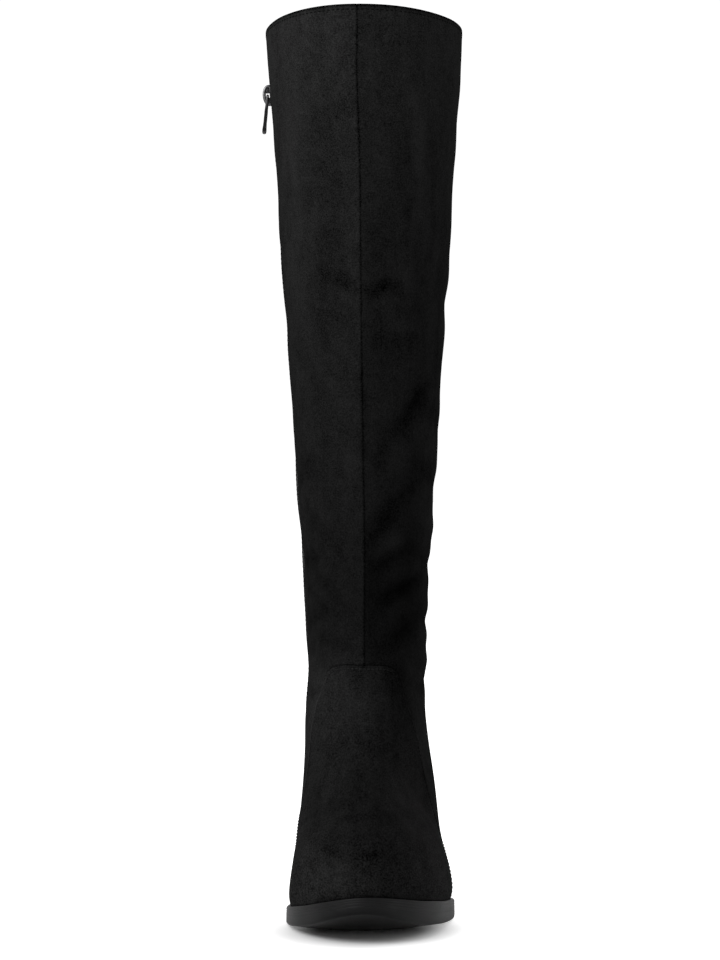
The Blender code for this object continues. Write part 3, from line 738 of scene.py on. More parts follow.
def suede_height(level, turn, points):
    """Height of the suede over the last, and its shade.

    The height adds up folds, waves and seam valleys. The shade is painted light and shade: lighter
    on a ridge and darker in a hollow and along the collar's edge, plus the brushed places, and a
    dark line in each seam.
    """
    level, turn = np.broadcast_arrays(level, turn)
    fold = folds(points)
    collar_gap = (COLLAR_LEVEL - level) * COLLAR_LEVEL_HEIGHT
    hem = 1.0 - bell(collar_gap, COLLAR_FADE)
    feather = 1.0 - bell(level, FEATHER_FADE)
    soft = (fold + waves(points)) * (COLLAR_FOLDS + (1.0 - COLLAR_FOLDS) * hem) * feather
    length = round_length(level, turn)
    front = ((turn + 0.5) % 1.0 - 0.5 - front_seam_turn(level)) * length
    back = ((turn % 1.0) - 0.5) * length
    risen = (level - CORNER_LEVEL) / (TONGUE_LEVEL - CORNER_LEVEL)
    above = np.clip(risen - SEAM_START, 0.0, SEAM_FADE) / SEAM_FADE
    seams = above * seam_groove(front, *JOINED_SEAM)
    seams = seams + seam_groove(back, *JOINED_SEAM)
    seams = seams + seam_groove(collar_gap - COLLAR_STITCH, *COLLAR_SEAM)
    closed = above * bell(front, SEAM_LINE)
    closed = closed + bell(back, SEAM_LINE)
    closed = closed + COLLAR_EDGE_SHADE * bell(collar_gap, RIM_LINE)
    return soft + seams, FOLD_SHADE * fold + brush_marks_and_shade(points) - SEAM_DARKNESS * closed


instep = last_point(8.0, 0.0)
print("suede on the instep stands", round(float(suede_height(8.0, 0.0, instep)[0]), 2), "mm proud")

# %% [markdown]
# ## How the nap lies, with painted light and shade
# The nap of each panel is brushed one way before the pieces are sewn, so two panels that meet at a
# seam can read as two tones of the same black. The same table also paints in light and shade: the
# inner side is lighter, as it faces the key light, and the suede is darker round the ankle and
# lighter on the instep, where it faces the light from above. A short table by height holds this for
# both sides, and the mesh keeps it as a number at each point.

# %% Tone of the nap
# height, tone of the inner side, tone of the outer side, as shares of the lightest nap; each holds
# the nap's tone and painted light and shade together.
NAP_AND_LIGHT_TONES = (
    (20, 0.43, 0.25),
    (42, 0.36, 0.185),
    (62, 0.25, 0.125),
    (90, 0.36, 0.15),
    (128, 0.44, 0.145),
    (147, 0.26, 0.14),
    (180, 0.225, 0.10),
    (236, 0.275, 0.18),
    (323, 0.34, 0.23),
    (411, 0.41, 0.27),
    (470, 0.48, 0.335),
    (523, 0.575, 0.41),
)


def nap_and_light_tone(points, inner_share):
    """Tone at points: the two columns of the table at their height, mixed by a share."""
    heights, inner, outer = zip(*NAP_AND_LIGHT_TONES)
    inner = smooth(heights, inner, points[..., 2])
    outer = smooth(heights, outer, points[..., 2])
    return outer + (inner - outer) * inner_share


print("tone of the toe, inner side:", round(float(nap_and_light_tone(last_point(1.5, 0.9), 1.0)), 3))

# %% [markdown]
# ## From arrays to a mesh
# Blender takes a mesh as a list of points and of faces. Our surfaces are grids, so the faces
# are the same four corner numbers at every cell, and one array expression makes them all.
# The edge of a panel isn't a knife edge: it is rolled over, so a strip is carried along the
# edge with a small rounded profile, which also gives the panel its thickness.

# %% Grids and edges
def quads(rows, columns, ring=False, kept=None):
    """Corner numbers of the cells of a grid, facing out when columns run to the right."""
    r = np.arange(rows - 1)[:, None] * columns
    c = np.arange(columns if ring else columns - 1)[None, :]
    after = (c + 1) % columns
    cells = np.stack([r + c, r + after, r + columns + after, r + columns + c], axis=-1)
    return cells[kept] if kept is not None else cells.reshape(-1, 4)


def rolled_edge(points, normals, profile, ring=False):
    """A strip along an edge with the panel on the right hand when seen from outside.

    The profile gives, row by row, how far the strip goes out past the edge and down.
    """
    if ring:
        steps = np.roll(points, -1, axis=0) - np.roll(points, 1, axis=0)
    else:
        steps = np.gradient(points, axis=0)
    outward = unit(np.cross(normals, steps))
    out, down = (np.array(column)[:, None, None] for column in zip(*profile))
    return points[None] + out * outward[None] - down * normals[None]


def skin(points, ring=False, inward=False):
    """A grid of points with its faces, which are turned round where they face inwards."""
    faces = quads(*points.shape[:2], ring=ring)
    return points, faces[:, ::-1] if inward else faces


print("cells of a ring of 3 rows and 8 columns:", len(quads(3, 8, ring=True)))

# %% Pieces
MERGE_DISTANCE = 2e-6


def add_object(name, data):
    """An object in the scene for a mesh, a light or a camera."""
    made = bpy.data.objects.new(name, data)
    bpy.context.scene.collection.objects.link(made)
    return made


def make_piece(
    name, parts, finish, node, body="boot", values=None, cloth=None, sharp=None
):
    """One mesh object from grids in millimetres, on its body, in place of a node.

    values holds named numbers with one for each point. cloth is a place in metres on the
    flat cloth for each face corner. Without cloth, doubled points are merged, which closes
    seams and poles. sharp is the angle in degrees past which an edge isn't smoothed.
    """
    points = np.concatenate([part[0].reshape(-1, 3) for part in parts])
    starts = np.cumsum([0] + [part[0].reshape(-1, 3).shape[0] for part in parts[:-1]])
    faces = np.concatenate([part[1] + start for part, start in zip(parts, starts)])
    used, faces = np.unique(faces, return_inverse=True)
    faces = faces.reshape(-1, 4)
    mesh = bpy.data.meshes.new(name)
    mesh.from_pydata((points[used] * MM).tolist(), [], faces.tolist())
    for label, numbers in (values or {}).items():
        kept_number = mesh.attributes.new(label, "FLOAT", "POINT")
        kept_number.data.foreach_set("value", np.asarray(numbers, float).ravel()[used])
    if cloth is not None:
        mesh.uv_layers.new(name="cloth").data.foreach_set("uv", np.asarray(cloth, float).ravel())
    else:
        work = bmesh.new()
        work.from_mesh(mesh)
        bmesh.ops.remove_doubles(work, verts=work.verts, dist=MERGE_DISTANCE)
        work.to_mesh(mesh)
        work.free()
    mesh.materials.append(finish)
    mesh.shade_smooth()
    if sharp is not None:
        mesh.set_sharp_from_angle(angle=math.radians(sharp))
    piece = add_object(name, mesh)
    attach(piece, body)
    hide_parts(node)
    triangles = sum(len(face.vertices) - 2 for face in mesh.polygons)
    print(f"{name}: {len(mesh.vertices)} points, {triangles} triangles")


# %% [markdown]
# ## Finishes
# A finish is a small network of shader nodes. We write one helper that adds a node and
# wires it, then build each effect that several finishes share once, as a node group: a
# fibre grain, a plain weave, and the soft scuffs that rubber and resin pick up.

# %% Wiring helpers
def wire(tree, kind, inputs=None, **settings):
    """Adds a node with its settings, and gives each input a value or a link."""
    node = tree.nodes.new(kind)
    for name, value in settings.items():
        setattr(node, name, value)
    for name, value in (inputs or {}).items():
        if isinstance(value, bpy.types.NodeSocket):
            tree.links.new(value, node.inputs[name])
        else:
            node.inputs[name].default_value = value
    return node


def maths(tree, operation, *values):
    """Output of a Math node on one, two or three values or links."""
    return wire(tree, "ShaderNodeMath", dict(enumerate(values)), operation=operation).outputs[0]


def noise(tree, place, size, detail=2.0, roughness=0.5, distortion=0.0):
    """Noise about as coarse as a size in metres, from 0 to 1."""
    values = {"Vector": place, "Scale": size if hasattr(size, "node") else 1.0 / size}
    values.update({"Detail": detail, "Roughness": roughness, "Distortion": distortion})
    return wire(tree, "ShaderNodeTexNoise", values).outputs[0]


def stretched(tree, place, scale):
    """A place with its axes scaled, which draws a pattern out along the smaller ones."""
    return wire(tree, "ShaderNodeMapping", {"Vector": place, "Scale": scale}).outputs[0]


def attribute(tree, name):
    """A number that the mesh keeps at each point."""
    return wire(tree, "ShaderNodeAttribute", attribute_name=name).outputs["Fac"]


def axes_of(tree, place):
    """The three numbers of a place."""
    return wire(tree, "ShaderNodeSeparateXYZ", {0: place}).outputs


def clamped(tree, value):
    """A value kept between 0 and 1."""
    return wire(tree, "ShaderNodeClamp", {0: value}).outputs[0]


print("finishes that came with the frame:", len(bpy.data.materials))

# %% Groups and finishes
def new_group(name, inputs, outputs):
    """A node group with named sockets: (name, socket kind, default) and (name, kind)."""
    group = bpy.data.node_groups.new(name, "ShaderNodeTree")
    for label, kind, value in inputs:
        socket = group.interface.new_socket(label, in_out="INPUT", socket_type=kind)
        if value is not None:
            socket.default_value = value
    for label, kind in outputs:
        group.interface.new_socket(label, in_out="OUTPUT", socket_type=kind)
    start = group.nodes.new("NodeGroupInput")
    end = group.nodes.new("NodeGroupOutput")
    return group, start.outputs, end.inputs


def use(tree, group, inputs):
    """Places a node group in a finish and returns its outputs."""
    return wire(tree, "ShaderNodeGroup", inputs, node_tree=group).outputs


def new_finish(name, **constants):
    """A material with its Principled shader, and constants set on the shader's sockets."""
    finish = bpy.data.materials.new(name)
    finish.use_nodes = True
    shader = finish.node_tree.nodes["Principled BSDF"]
    for label, value in constants.items():
        shader.inputs[label.replace("_", " ")].default_value = value
    place = finish.node_tree.nodes.new("ShaderNodeTexCoord").outputs["Object"]
    return finish, finish.node_tree, shader.inputs, place


def grey(value, blue=None):
    """A grey, with its blue given where it is a little cooler."""
    return (value, value, blue or value)


def blend_colours(tree, share, low, high):
    """A colour between two by a share from 0 to 1."""
    colours = {0: share, 6: (*low, 1.0), 7: (*high, 1.0)}
    return wire(tree, "ShaderNodeMix", colours, data_type="RGBA").outputs[2]


def colour(tree, sockets, share, dark, light):
    """Gives a finish its colour, between a dark and a light one by a share."""
    tree.links.new(blend_colours(tree, share, dark, light), sockets["Base Color"])


def bump(tree, height, distance, strength, under=None):
    """Normal of a height map whose full range is a distance in metres."""
    values = {"Height": height, "Distance": distance, "Strength": strength}
    if under is not None:
        values["Normal"] = under
    return wire(tree, "ShaderNodeBump", values).outputs[0]


def relief(tree, sockets, height, distance, strength, under=None):
    """Gives a finish its fine relief from a height map."""
    tree.links.new(bump(tree, height, distance, strength, under), sockets["Normal"])


print("a cool grey:", grey(0.02, 0.0205))

# %% [markdown]
# The fibre group is for anything with a nap. Fine noise is the single fibres. A coarser one,
# drawn out along one direction, is where a hand or a box has brushed them, and the slow
# patches are where whole areas lie one way or the other.

# %% The nap's fibres as a node group
FLOAT, VECTOR = "NodeSocketFloat", "NodeSocketVector"
BRUSH_STRETCH = (1.4, 1.4, 0.35)
fibre_group, given, result = new_group(
    "nap_fibres",
    (("Place", VECTOR, None), ("Fibre Scale", FLOAT, 2400.0), ("Brush Scale", FLOAT, 160.0),
     ("Patch Scale", FLOAT, 48.0), ("Fibre Share", FLOAT, 1.0), ("Brush Share", FLOAT, 0.6),
     ("Patch Share", FLOAT, 0.5)),
    (("Shade", FLOAT), ("Height", FLOAT)),
)
tree = fibre_group
combed = stretched(tree, given["Place"], BRUSH_STRETCH)
fibres = noise(tree, given["Place"], given["Fibre Scale"], 3.0, 0.65)
brushed = noise(tree, combed, given["Brush Scale"], 3.0, 0.6, 0.4)
patches = noise(tree, given["Place"], given["Patch Scale"], 3.0, 0.55, 0.6)
shares = [
    maths(tree, "MULTIPLY", maths(tree, "SUBTRACT", value, 0.5), given[label])
    for value, label in (
        (fibres, "Fibre Share"), (brushed, "Brush Share"), (patches, "Patch Share")
    )
]
shade = maths(tree, "ADD", maths(tree, "ADD", shares[0], shares[1]), shares[2])
tree.links.new(maths(tree, "ADD", shade, 0.5), result["Shade"])
tree.links.new(fibres, result["Height"])
print("inputs of the fibres:", list(given.keys()))

# %% [markdown]
# The weave group makes a plain weave: two sets of rounded threads, each a sine, where the
# sign of their product says which one lies on top. The scuff group is for what is moulded or
# cast: a fine grain, and long soft smears where it has been handled.

# %% The weave and the scuffs as node groups
weave_group, given, result = new_group(
    "plain_weave",
    (("Place", VECTOR, None), ("Thread Pitch", FLOAT, 0.0006)),
    (("Height", FLOAT),),
)
tree = weave_group
across = axes_of(tree, given["Place"])
turns = [
    maths(tree, "MULTIPLY", maths(tree, "DIVIDE", across[i], given["Thread Pitch"]), math.pi)
    for i in (0, 1)
]
warp, weft = (maths(tree, "SINE", turn) for turn in turns)
over = maths(tree, "GREATER_THAN", maths(tree, "MULTIPLY", warp, weft), 0.0)
under = maths(tree, "SUBTRACT", 1.0, over)
warp_part = maths(tree, "MULTIPLY", maths(tree, "ABSOLUTE", warp), over)
weft_part = maths(tree, "MULTIPLY", maths(tree, "ABSOLUTE", weft), under)
tree.links.new(maths(tree, "ADD", warp_part, weft_part), result["Height"])

SMEAR_STRETCH = (0.5, 0.5, 1.6)
GRAIN_SHARE = 0.35
SMEAR_SHARE = 0.65
scuff_group, given, result = new_group(
    "soft_scuffs",
    (("Place", VECTOR, None), ("Grain Scale", FLOAT, 1500.0), ("Smear Scale", FLOAT, 90.0)),
    (("Shade", FLOAT), ("Height", FLOAT)),
)
tree = scuff_group
drawn_out = stretched(tree, given["Place"], SMEAR_STRETCH)
grain = noise(tree, given["Place"], given["Grain Scale"], 2.0, 0.6)
smears = noise(tree, drawn_out, given["Smear Scale"], 4.0, 0.6, 0.8)
grain_part = maths(tree, "MULTIPLY", grain, GRAIN_SHARE)
smear_part = maths(tree, "MULTIPLY", smears, SMEAR_SHARE)
tree.links.new(maths(tree, "ADD", grain_part, smear_part), result["Shade"])
tree.links.new(grain, result["Height"])
print("node groups:", [group.name for group in bpy.data.node_groups])

# %% [markdown]
# ## Faux suede
# Faux suede is a knitted backing covered in microfibres. It is almost black, and what the eye reads
# is the nap: brushed one way it is a little lighter than the other. So the mesh's tone, which also
# holds painted light and shade, is multiplied by all that varies: single fibres, patches, soft
# upright brush marks, the painted light and shade of folds and fine creases, and the dark seams. A
# matt nap has next to no gloss and a very faint sheen.

# %% Suede
# Heights are in metres. The creases are fine wrinkles that gather in some places only, and
# they fade out below the ankle, where the suede is pulled tight over the last.
CREASE_SIZE = 0.0016
CREASE_STRETCH = (0.5, 0.5, 1.3)
CREASE_HEIGHT = 0.0003
CREASE_SHADE = 0.7
GATHER_SIZE = 0.034
GATHER_CONTRAST = (4.0, -1.9)
TIGHT_BELOW = 0.16
TIGHT_SHARE = 0.8
NAP_HEIGHT = 0.00013
NAP_CONTRAST = 1.1
NAP_CONTRAST_LOW = 0.55
DARKEST_NAP, LIGHTEST_NAP = grey(0.0004), grey(0.03)

suede, tree, sockets, place = new_finish(
    "black_faux_suede",
    Roughness=0.9, Sheen_Weight=0.006, Sheen_Roughness=0.5, Specular_IOR_Level=0.0,
)
parts = axes_of(tree, place)
combed = {0: parts["X"], 1: attribute(tree, "along"), 2: parts["Z"]}
nap = use(tree, fibre_group, {
    "Place": wire(tree, "ShaderNodeCombineXYZ", combed).outputs[0],
    "Fibre Scale": 1250.0, "Brush Scale": 70.0, "Patch Scale": 150.0,
    "Fibre Share": 3.2, "Brush Share": 0.8, "Patch Share": 0.8,
})
fade = {"Value": parts["Z"], "From Max": TIGHT_BELOW, "To Min": 1.0, "To Max": 0.0}
low = wire(tree, "ShaderNodeMapRange", fade, interpolation_type="SMOOTHSTEP").outputs[0]
creases = noise(tree, stretched(tree, place, CREASE_STRETCH), CREASE_SIZE, 3.0, 0.6, 0.5)
where = noise(tree, place, GATHER_SIZE, 2.0, 0.5, 0.3)
gathered = clamped(tree, maths(tree, "MULTIPLY_ADD", where, *GATHER_CONTRAST))
fine = maths(tree, "MULTIPLY", maths(tree, "SUBTRACT", creases, 0.5), gathered)
fine = maths(tree, "MULTIPLY", fine, maths(tree, "MULTIPLY_ADD", low, -TIGHT_SHARE, 1.0))
contrast = maths(tree, "MULTIPLY_ADD", low, NAP_CONTRAST_LOW, NAP_CONTRAST)
lighter = maths(tree, "MULTIPLY_ADD", maths(tree, "SUBTRACT", nap["Shade"], 0.5), contrast, 1.0)
lighter = maths(tree, "MULTIPLY_ADD", fine, CREASE_SHADE, lighter)
lighter = maths(tree, "ADD", lighter, attribute(tree, "shade"))
share = clamped(tree, maths(tree, "MULTIPLY", lighter, attribute(tree, "tone")))
colour(tree, sockets, share, DARKEST_NAP, LIGHTEST_NAP)
coarse = bump(tree, fine, CREASE_HEIGHT, 0.6)
relief(tree, sockets, nap["Height"], NAP_HEIGHT, 0.8, coarse)
print("nodes in the suede:", len(tree.nodes))

# %% [markdown]
# ## The other finishes
# The sole unit is a moulded resin, a dark grey with a satin face, and its underside and edge carry
# painted shade and highlights. The heel is covered in a black stack with thin layers that show as
# lines, and its tip is matt rubber. Thread, tape and lining are cloth, so they use the weave or the
# fibres at their own size. The metal of the zip is plated a dark grey, with a painted highlight on
# the slider's bridge and at the pull's eye and tip.

# %% Moulded and cast finishes
def scuffed(name, dark, light, scuffs=None, tone=None, rough=None, raised=None, **constants):
    """A finish whose colour runs from dark to light with the scuffs' shade.

    tone names an attribute that the shade is multiplied by, as number x scale + start.
    rough is the scale and start of the roughness. raised is the grain's height in metres
    and its strength.
    """
    finish, tree, sockets, place = new_finish(name, **constants)
    marks = use(tree, scuff_group, {"Place": place, **(scuffs or {})})
    shade = marks["Shade"]
    if tone:
        label, scale, start = tone
        factor = maths(tree, "MULTIPLY_ADD", attribute(tree, label), scale, start)
        shade = maths(tree, "MULTIPLY", shade, factor)
    colour(tree, sockets, shade, dark, light)
    if rough:
        tree.links.new(maths(tree, "MULTIPLY_ADD", marks["Shade"], *rough), sockets["Roughness"])
    if raised:
        relief(tree, sockets, marks["Height"], *raised)
    return finish


# The resin's colour is darkened by under, the sole's painted shade and highlights.
resin = scuffed(
    "satin_sole_resin", grey(0.0012), grey(0.0135, 0.0138),
    tone=("under", -0.95, 1.0), rough=(0.22, 0.30), raised=(0.00008, 0.6),
    Roughness=0.42, Specular_IOR_Level=0.09,
)
rubber = scuffed(
    "matt_black_rubber", grey(0.005), grey(0.016),
    scuffs={"Grain Scale": 1100.0}, raised=(0.00016, 0.8), Roughness=0.75,
)
nylon = scuffed(
    "black_nylon_coil", grey(0.003), grey(0.012),
    scuffs={"Grain Scale": 2600.0, "Smear Scale": 300.0}, rough=(0.25, 0.25),
    Roughness=0.35, Specular_IOR_Level=0.3,
)
# Its colour is lighter by a painted highlight, kept as a number at each point.
gunmetal = scuffed(
    "dark_plated_metal", grey(0.006, 0.0065), grey(0.25, 0.255),
    scuffs={"Grain Scale": 2200.0, "Smear Scale": 420.0},
    tone=("painted_light", 0.85, 0.15), rough=(0.28, 0.20), raised=(0.00003, 0.6),
    Metallic=1.0, Roughness=0.3,
)
print("moulded and cast:", [finish.name for finish in (resin, rubber, nylon, gunmetal)])

# %% The heel's stack
# Sizes in metres.
LAYER = 0.0042
LINE_SHARPNESS = 24.0
LINE_DARKNESS = 0.45
LINE_DEPTH = 0.00025
STRAND_SIZE = 0.004
STRAND_STRETCH = (0.3, 0.3, 9.0)

stack, tree, sockets, place = new_finish(
    "black_stacked_heel", Roughness=0.4, Specular_IOR_Level=0.3
)
scuffs = use(tree, scuff_group, {"Place": place, "Smear Scale": 140.0})
phase = maths(tree, "MULTIPLY", axes_of(tree, place)["Z"], TAU / LAYER)
wave = maths(tree, "MULTIPLY_ADD", maths(tree, "SINE", phase), 0.5, 0.5)
line = maths(tree, "POWER", wave, LINE_SHARPNESS)
strands = noise(tree, stretched(tree, place, STRAND_STRETCH), STRAND_SIZE, 3.0, 0.6)
tone = maths(tree, "MULTIPLY_ADD", strands, 0.5, maths(tree, "MULTIPLY", scuffs["Shade"], 0.5))
tone = maths(tree, "SUBTRACT", tone, maths(tree, "MULTIPLY", line, LINE_DARKNESS))
tone = clamped(tree, tone)
colour(tree, sockets, tone, grey(0.004, 0.0042), grey(0.020, 0.0205))
tree.links.new(maths(tree, "MULTIPLY_ADD", tone, 0.2, 0.32), sockets["Roughness"])
sunk = maths(tree, "MULTIPLY_ADD", line, -1.0, maths(tree, "MULTIPLY", strands, 0.25))
relief(tree, sockets, sunk, LINE_DEPTH, 0.8)
print("layers of the heel are", round(LAYER / MM, 1), "mm thick")

# %% Cloth: lining, tape, footbed and thread
def woven(name, dark, light, pitch, weave_share, nap_share, patches, raised, **constants):
    """Woven cloth: its tone adds up a share of the weave's height and of the nap's shade."""
    finish, tree, sockets, place = new_finish(name, **constants)
    flat_place = wire(tree, "ShaderNodeUVMap", uv_map="cloth").outputs[0]
    cloth = use(tree, weave_group, {"Place": flat_place, "Thread Pitch": pitch})
    nap = use(tree, fibre_group, {"Place": place, "Patch Share": patches})
    fuzz = maths(tree, "MULTIPLY", nap["Shade"], nap_share)
    tone = maths(tree, "MULTIPLY_ADD", cloth["Height"], weave_share, fuzz)
    colour(tree, sockets, tone, dark, light)
    relief(tree, sockets, cloth["Height"], *raised)
    return finish


def fibrous(name, dark, light, fibres, patches, raised, tone=None, **constants):
    """Felt or thread: its tone is the fibres' shade, times an attribute if one is named."""
    finish, tree, sockets, place = new_finish(name, **constants)
    given = {"Place": place, "Fibre Scale": fibres, "Patch Share": patches}
    nap = use(tree, fibre_group, given)
    shade = nap["Shade"]
    if tone:
        shade = maths(tree, "MULTIPLY", shade, attribute(tree, tone))
    colour(tree, sockets, shade, dark, light)
    relief(tree, sockets, nap["Height"], *raised)
    return finish


lining_cloth = woven(
    "black_lining_cloth", grey(0.007, 0.0075), grey(0.034, 0.035), pitch=0.0011,
    weave_share=0.35, nap_share=0.6, patches=0.5, raised=(0.00018, 0.8),
    Roughness=0.85, Sheen_Weight=0.1,
)
tape_cloth = woven(
    "black_zip_tape", grey(0.005), grey(0.026, 0.027), pitch=0.00045,
    weave_share=0.5, nap_share=0.4, patches=0.3, raised=(0.00014, 0.9),
    Roughness=0.8, Sheen_Weight=0.15,
)
footbed_cloth = fibrous(
    "black_footbed_sock", grey(0.016, 0.017), grey(0.045, 0.046),
    fibres=1800.0, patches=0.6, raised=(0.0002, 0.8), Roughness=0.8,
)
# The thread's colour is multiplied by its painted light and shade, kept as a number at each point.
thread = fibrous(
    "black_thread", grey(0.001), grey(0.05),
    fibres=3600.0, patches=0.3, raised=(0.00010, 0.8), tone="painted_light",
    Roughness=0.6, Specular_IOR_Level=0.0,
)
print("finishes:", len(bpy.data.materials) - len(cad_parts), "and the frame's own")

# %% [markdown]
# ## The shaft and its quarters
# One grid covers everything above and behind the vamp. Its columns run from the front edge of
# the zip's slot, over the front, round the outer side and the back, to the slot again. Some
# columns are pinned to seams: the quarter's edge, the centre front and the centre back.
# Columns crowd together at the pins, where the surface bends fastest. The cells inside the
# U and inside the slot are left out, and each open edge gets its rolled strip.

# %% Rows and columns of the shaft
ROW_STEP = 2.3
LOW_ROWS = 56
CORNER_ROWS = 26
COLLAR_ROWS = 26
COLLAR_CROWDING = 1.8
EDGE_ROWS = (0.45, 0.9, 1.5)
COLUMN_COUNTS = (26, 24, 22, 66, 36, 4)
CROWDING = 0.72
HEIGHT_SAMPLES = 2001


def crowded(count):
    """Shares from 0 towards 1 that crowd at both ends: u - crowding sin(2 pi u) / 2 pi."""
    u = np.arange(count) / count
    return u - CROWDING * np.sin(TAU * u) / TAU


def shaft_rows():
    """Levels of the rows: even steps of height up the shaft, and finer at the collar."""
    low = np.linspace(0.0, ZIP_LEVELS[0], LOW_ROWS, endpoint=False)
    corner = np.linspace(ZIP_LEVELS[0], CORNER_LEVEL, CORNER_ROWS)
    levels = np.linspace(CORNER_LEVEL, ZIP_LEVELS[1], HEIGHT_SAMPLES)
    heights = section(levels)["front_z"]
    rise = heights[-1] - heights[0]
    count = int(round(rise / ROW_STEP))
    steps = np.concatenate([EDGE_ROWS, np.linspace(0.0, rise, count + 1)[1:]])
    tall = np.interp(heights[0] + steps, heights, levels)
    left = 1.0 - np.linspace(0.0, 1.0, COLLAR_ROWS)[1:]
    collar = ZIP_LEVELS[1] + (1.0 - left**COLLAR_CROWDING) * (COLLAR_LEVEL - ZIP_LEVELS[1])
    return np.concatenate([low, corner, tall, collar])


def shaft_columns(rows):
    """Turns of the columns at each row, crowded between the pinned ones, and the pins."""
    inner, outer = vamp_turns(rows)
    middle, half = zip_turn(rows), slot_half_turn(rows)
    pins = (
        middle + half, 1.0 - inner, 1.0 + front_seam_turn(rows), 1.0 + outer,
        np.full_like(rows, 1.5), 1.0 + middle - half, 1.0 + middle + half,
    )
    spans = [
        start[:, None] + (end - start)[:, None] * crowded(count)[None, :]
        for start, end, count in zip(pins[:-1], pins[1:], COLUMN_COUNTS)
    ]
    pinned = np.concatenate([[0], np.cumsum(COLUMN_COUNTS)[:-1]])
    return np.concatenate(spans, axis=1), pinned


rows = shaft_rows()
turns, pinned = shaft_columns(rows)
print("shaft:", len(rows), "rows and", turns.shape[1], "columns, pinned at", pinned.tolist())

# %% Surface of the shaft
TONGUE_FADE = 1.2
LAP_SHADOW = 1.4
LAP_SHADOW_WIDTH = 0.8
LAP_SHADOW_REACH = 4.0


def raised_levels(rows, turns):
    """Levels of the grid: a row above a corner rises by the tongue's rise x (1 - gap / fade)^2."""
    columns = np.arange(turns.shape[1])
    levels = np.repeat(rows[:, None], turns.shape[1], axis=1)
    rise = tongue_level(turns - 1.0) - CORNER_LEVEL
    over = np.clip(1.0 - (levels - CORNER_LEVEL) / TONGUE_FADE, 0.0, 1.0) ** 2
    tongue = (columns >= pinned[1]) & (columns <= pinned[3])
    raised = tongue[None, :] & (levels >= CORNER_LEVEL - 1e-9)
    return levels + np.where(raised, rise * over, 0.0)


corner_row = int(np.argmin(np.abs(rows - CORNER_LEVEL)))
slot_rows = [int(np.argmin(np.abs(rows - level))) for level in ZIP_LEVELS]
row, column = np.meshgrid(np.arange(len(rows) - 1), np.arange(turns.shape[1]), indexing="ij")
open_front = (row < corner_row) & (column >= pinned[1]) & (column < pinned[3])
open_slot = (row >= slot_rows[0]) & (row < slot_rows[1]) & (column >= pinned[5])
kept = ~(open_front | open_slot)

levels = raised_levels(rows, turns)
bare = last_point(levels, turns)
normals = last_normal(levels, turns)
height, shade = suede_height(levels, turns, bare)
edge_gap, _ = path_distance(bare, edge_path, LAP_SHADOW_REACH)
shade = shade - LAP_SHADOW * bell(edge_gap, LAP_SHADOW_WIDTH)
shaft = bare + height[..., None] * normals
around = np.arange(turns.shape[1])
inner_panel = np.where((around < pinned[2]) | (around > pinned[4]), 1.0, 0.0)
inner_panel[[pinned[2], pinned[4]]] = 0.5
tone = nap_and_light_tone(bare, inner_panel[None, :])
print("suede of the shaft:", round(height.min(), 2), "to", round(height.max(), 2), "mm proud")

# %% Panels with rolled edges
# out past the edge and down from the face, in millimetres.
UNDERLAP_PROFILE = ((0, 0), (0.5, 0.14), (1.2, 0.5), (3.5, 0.7))
SLOT_PROFILE = ((0, 0), (0.3, 0.07), (0.52, 0.32), (0.56, 0.8), (0.3, 1.7))
COLLAR_PROFILE = (
    (0, 0), (0.34, 0.08), (0.66, 0.34), (0.82, 0.75), (0.8, 1.15), (0.58, 1.6),
    (0.2, 1.86), (-1, 1.96), (-4, 2), (-8, 2.05), (-12, 2.3),
)
FEATHER_PROFILE = ((0, 0), (0.35, 0.15), (0.5, 0.5), (0.4, 1), (0, 1.8))
EDGE_SHADE_POWER = 0.5


def run(rows, columns):
    """Row and column numbers of a straight run along the grid, each a number or a range."""
    rows, columns = np.broadcast_arrays(np.asarray(rows), np.asarray(columns))
    return rows.ravel(), columns.ravel()


def chain(*runs):
    """Row and column numbers of runs that follow one another."""
    rows, columns = (np.concatenate(part) for part in zip(*runs))
    return rows, columns


def make_panel(name, surface, outward, faces, edges, shade, tone, bare, combed=1.0):
    """A suede piece from a grid and its rolled edges, with the numbers that its finish reads.

    Each edge has its places on the grid, its profile, how much painted shade it gets towards its
    hidden side, and whether it closes. The painted shade grows with the root of the share of its
    profile. The nap's place along the foot is y times combed.
    """
    parts = [(surface, faces)]
    shades, tones, alongs = [shade.ravel()], [tone.ravel()], [bare[..., 1].ravel()]
    for places, profile, hidden_shade, ring in edges:
        strip = rolled_edge(surface[places], outward[places], profile, ring)
        parts.append(skin(strip, ring))
        deeper = np.linspace(0.0, 1.0, len(profile))[:, None] ** EDGE_SHADE_POWER
        shades.append((shade[places][None] + hidden_shade * deeper).ravel())
        tones.append(np.tile(tone[places], len(profile)))
        alongs.append(strip[..., 1].ravel())
    values = {
        "shade": np.concatenate(shades), "tone": np.concatenate(tones),
        "along": np.concatenate(alongs) * combed * MM,
    }
    make_piece(name, parts, suede, "upper", values=values)


print("profile of the collar:", len(COLLAR_PROFILE), "rows")

# %% Edges of the shaft
last_column = shaft.shape[1]
climb = np.arange(corner_row + 1)
slot_climb = np.arange(slot_rows[0], slot_rows[1])
slot_across = np.append(np.arange(pinned[5], last_column), 0)
under_vamp = chain(
    run(climb, pinned[3]),
    run(corner_row, np.arange(pinned[3] - 1, pinned[1] - 1, -1)),
    run(climb[::-1][1:], pinned[1]),
)
round_slot = chain(
    run(slot_climb, 0),
    run(slot_rows[1], slot_across[::-1][:-1]),
    run(slot_climb[::-1] + 1, pinned[5]),
    run(slot_rows[0], slot_across[:-1]),
)
collar = run(len(shaft) - 1, np.arange(last_column))
feather = chain(
    run(0, np.arange(pinned[1], -1, -1)),
    run(0, np.arange(last_column - 1, pinned[3] - 1, -1)),
)
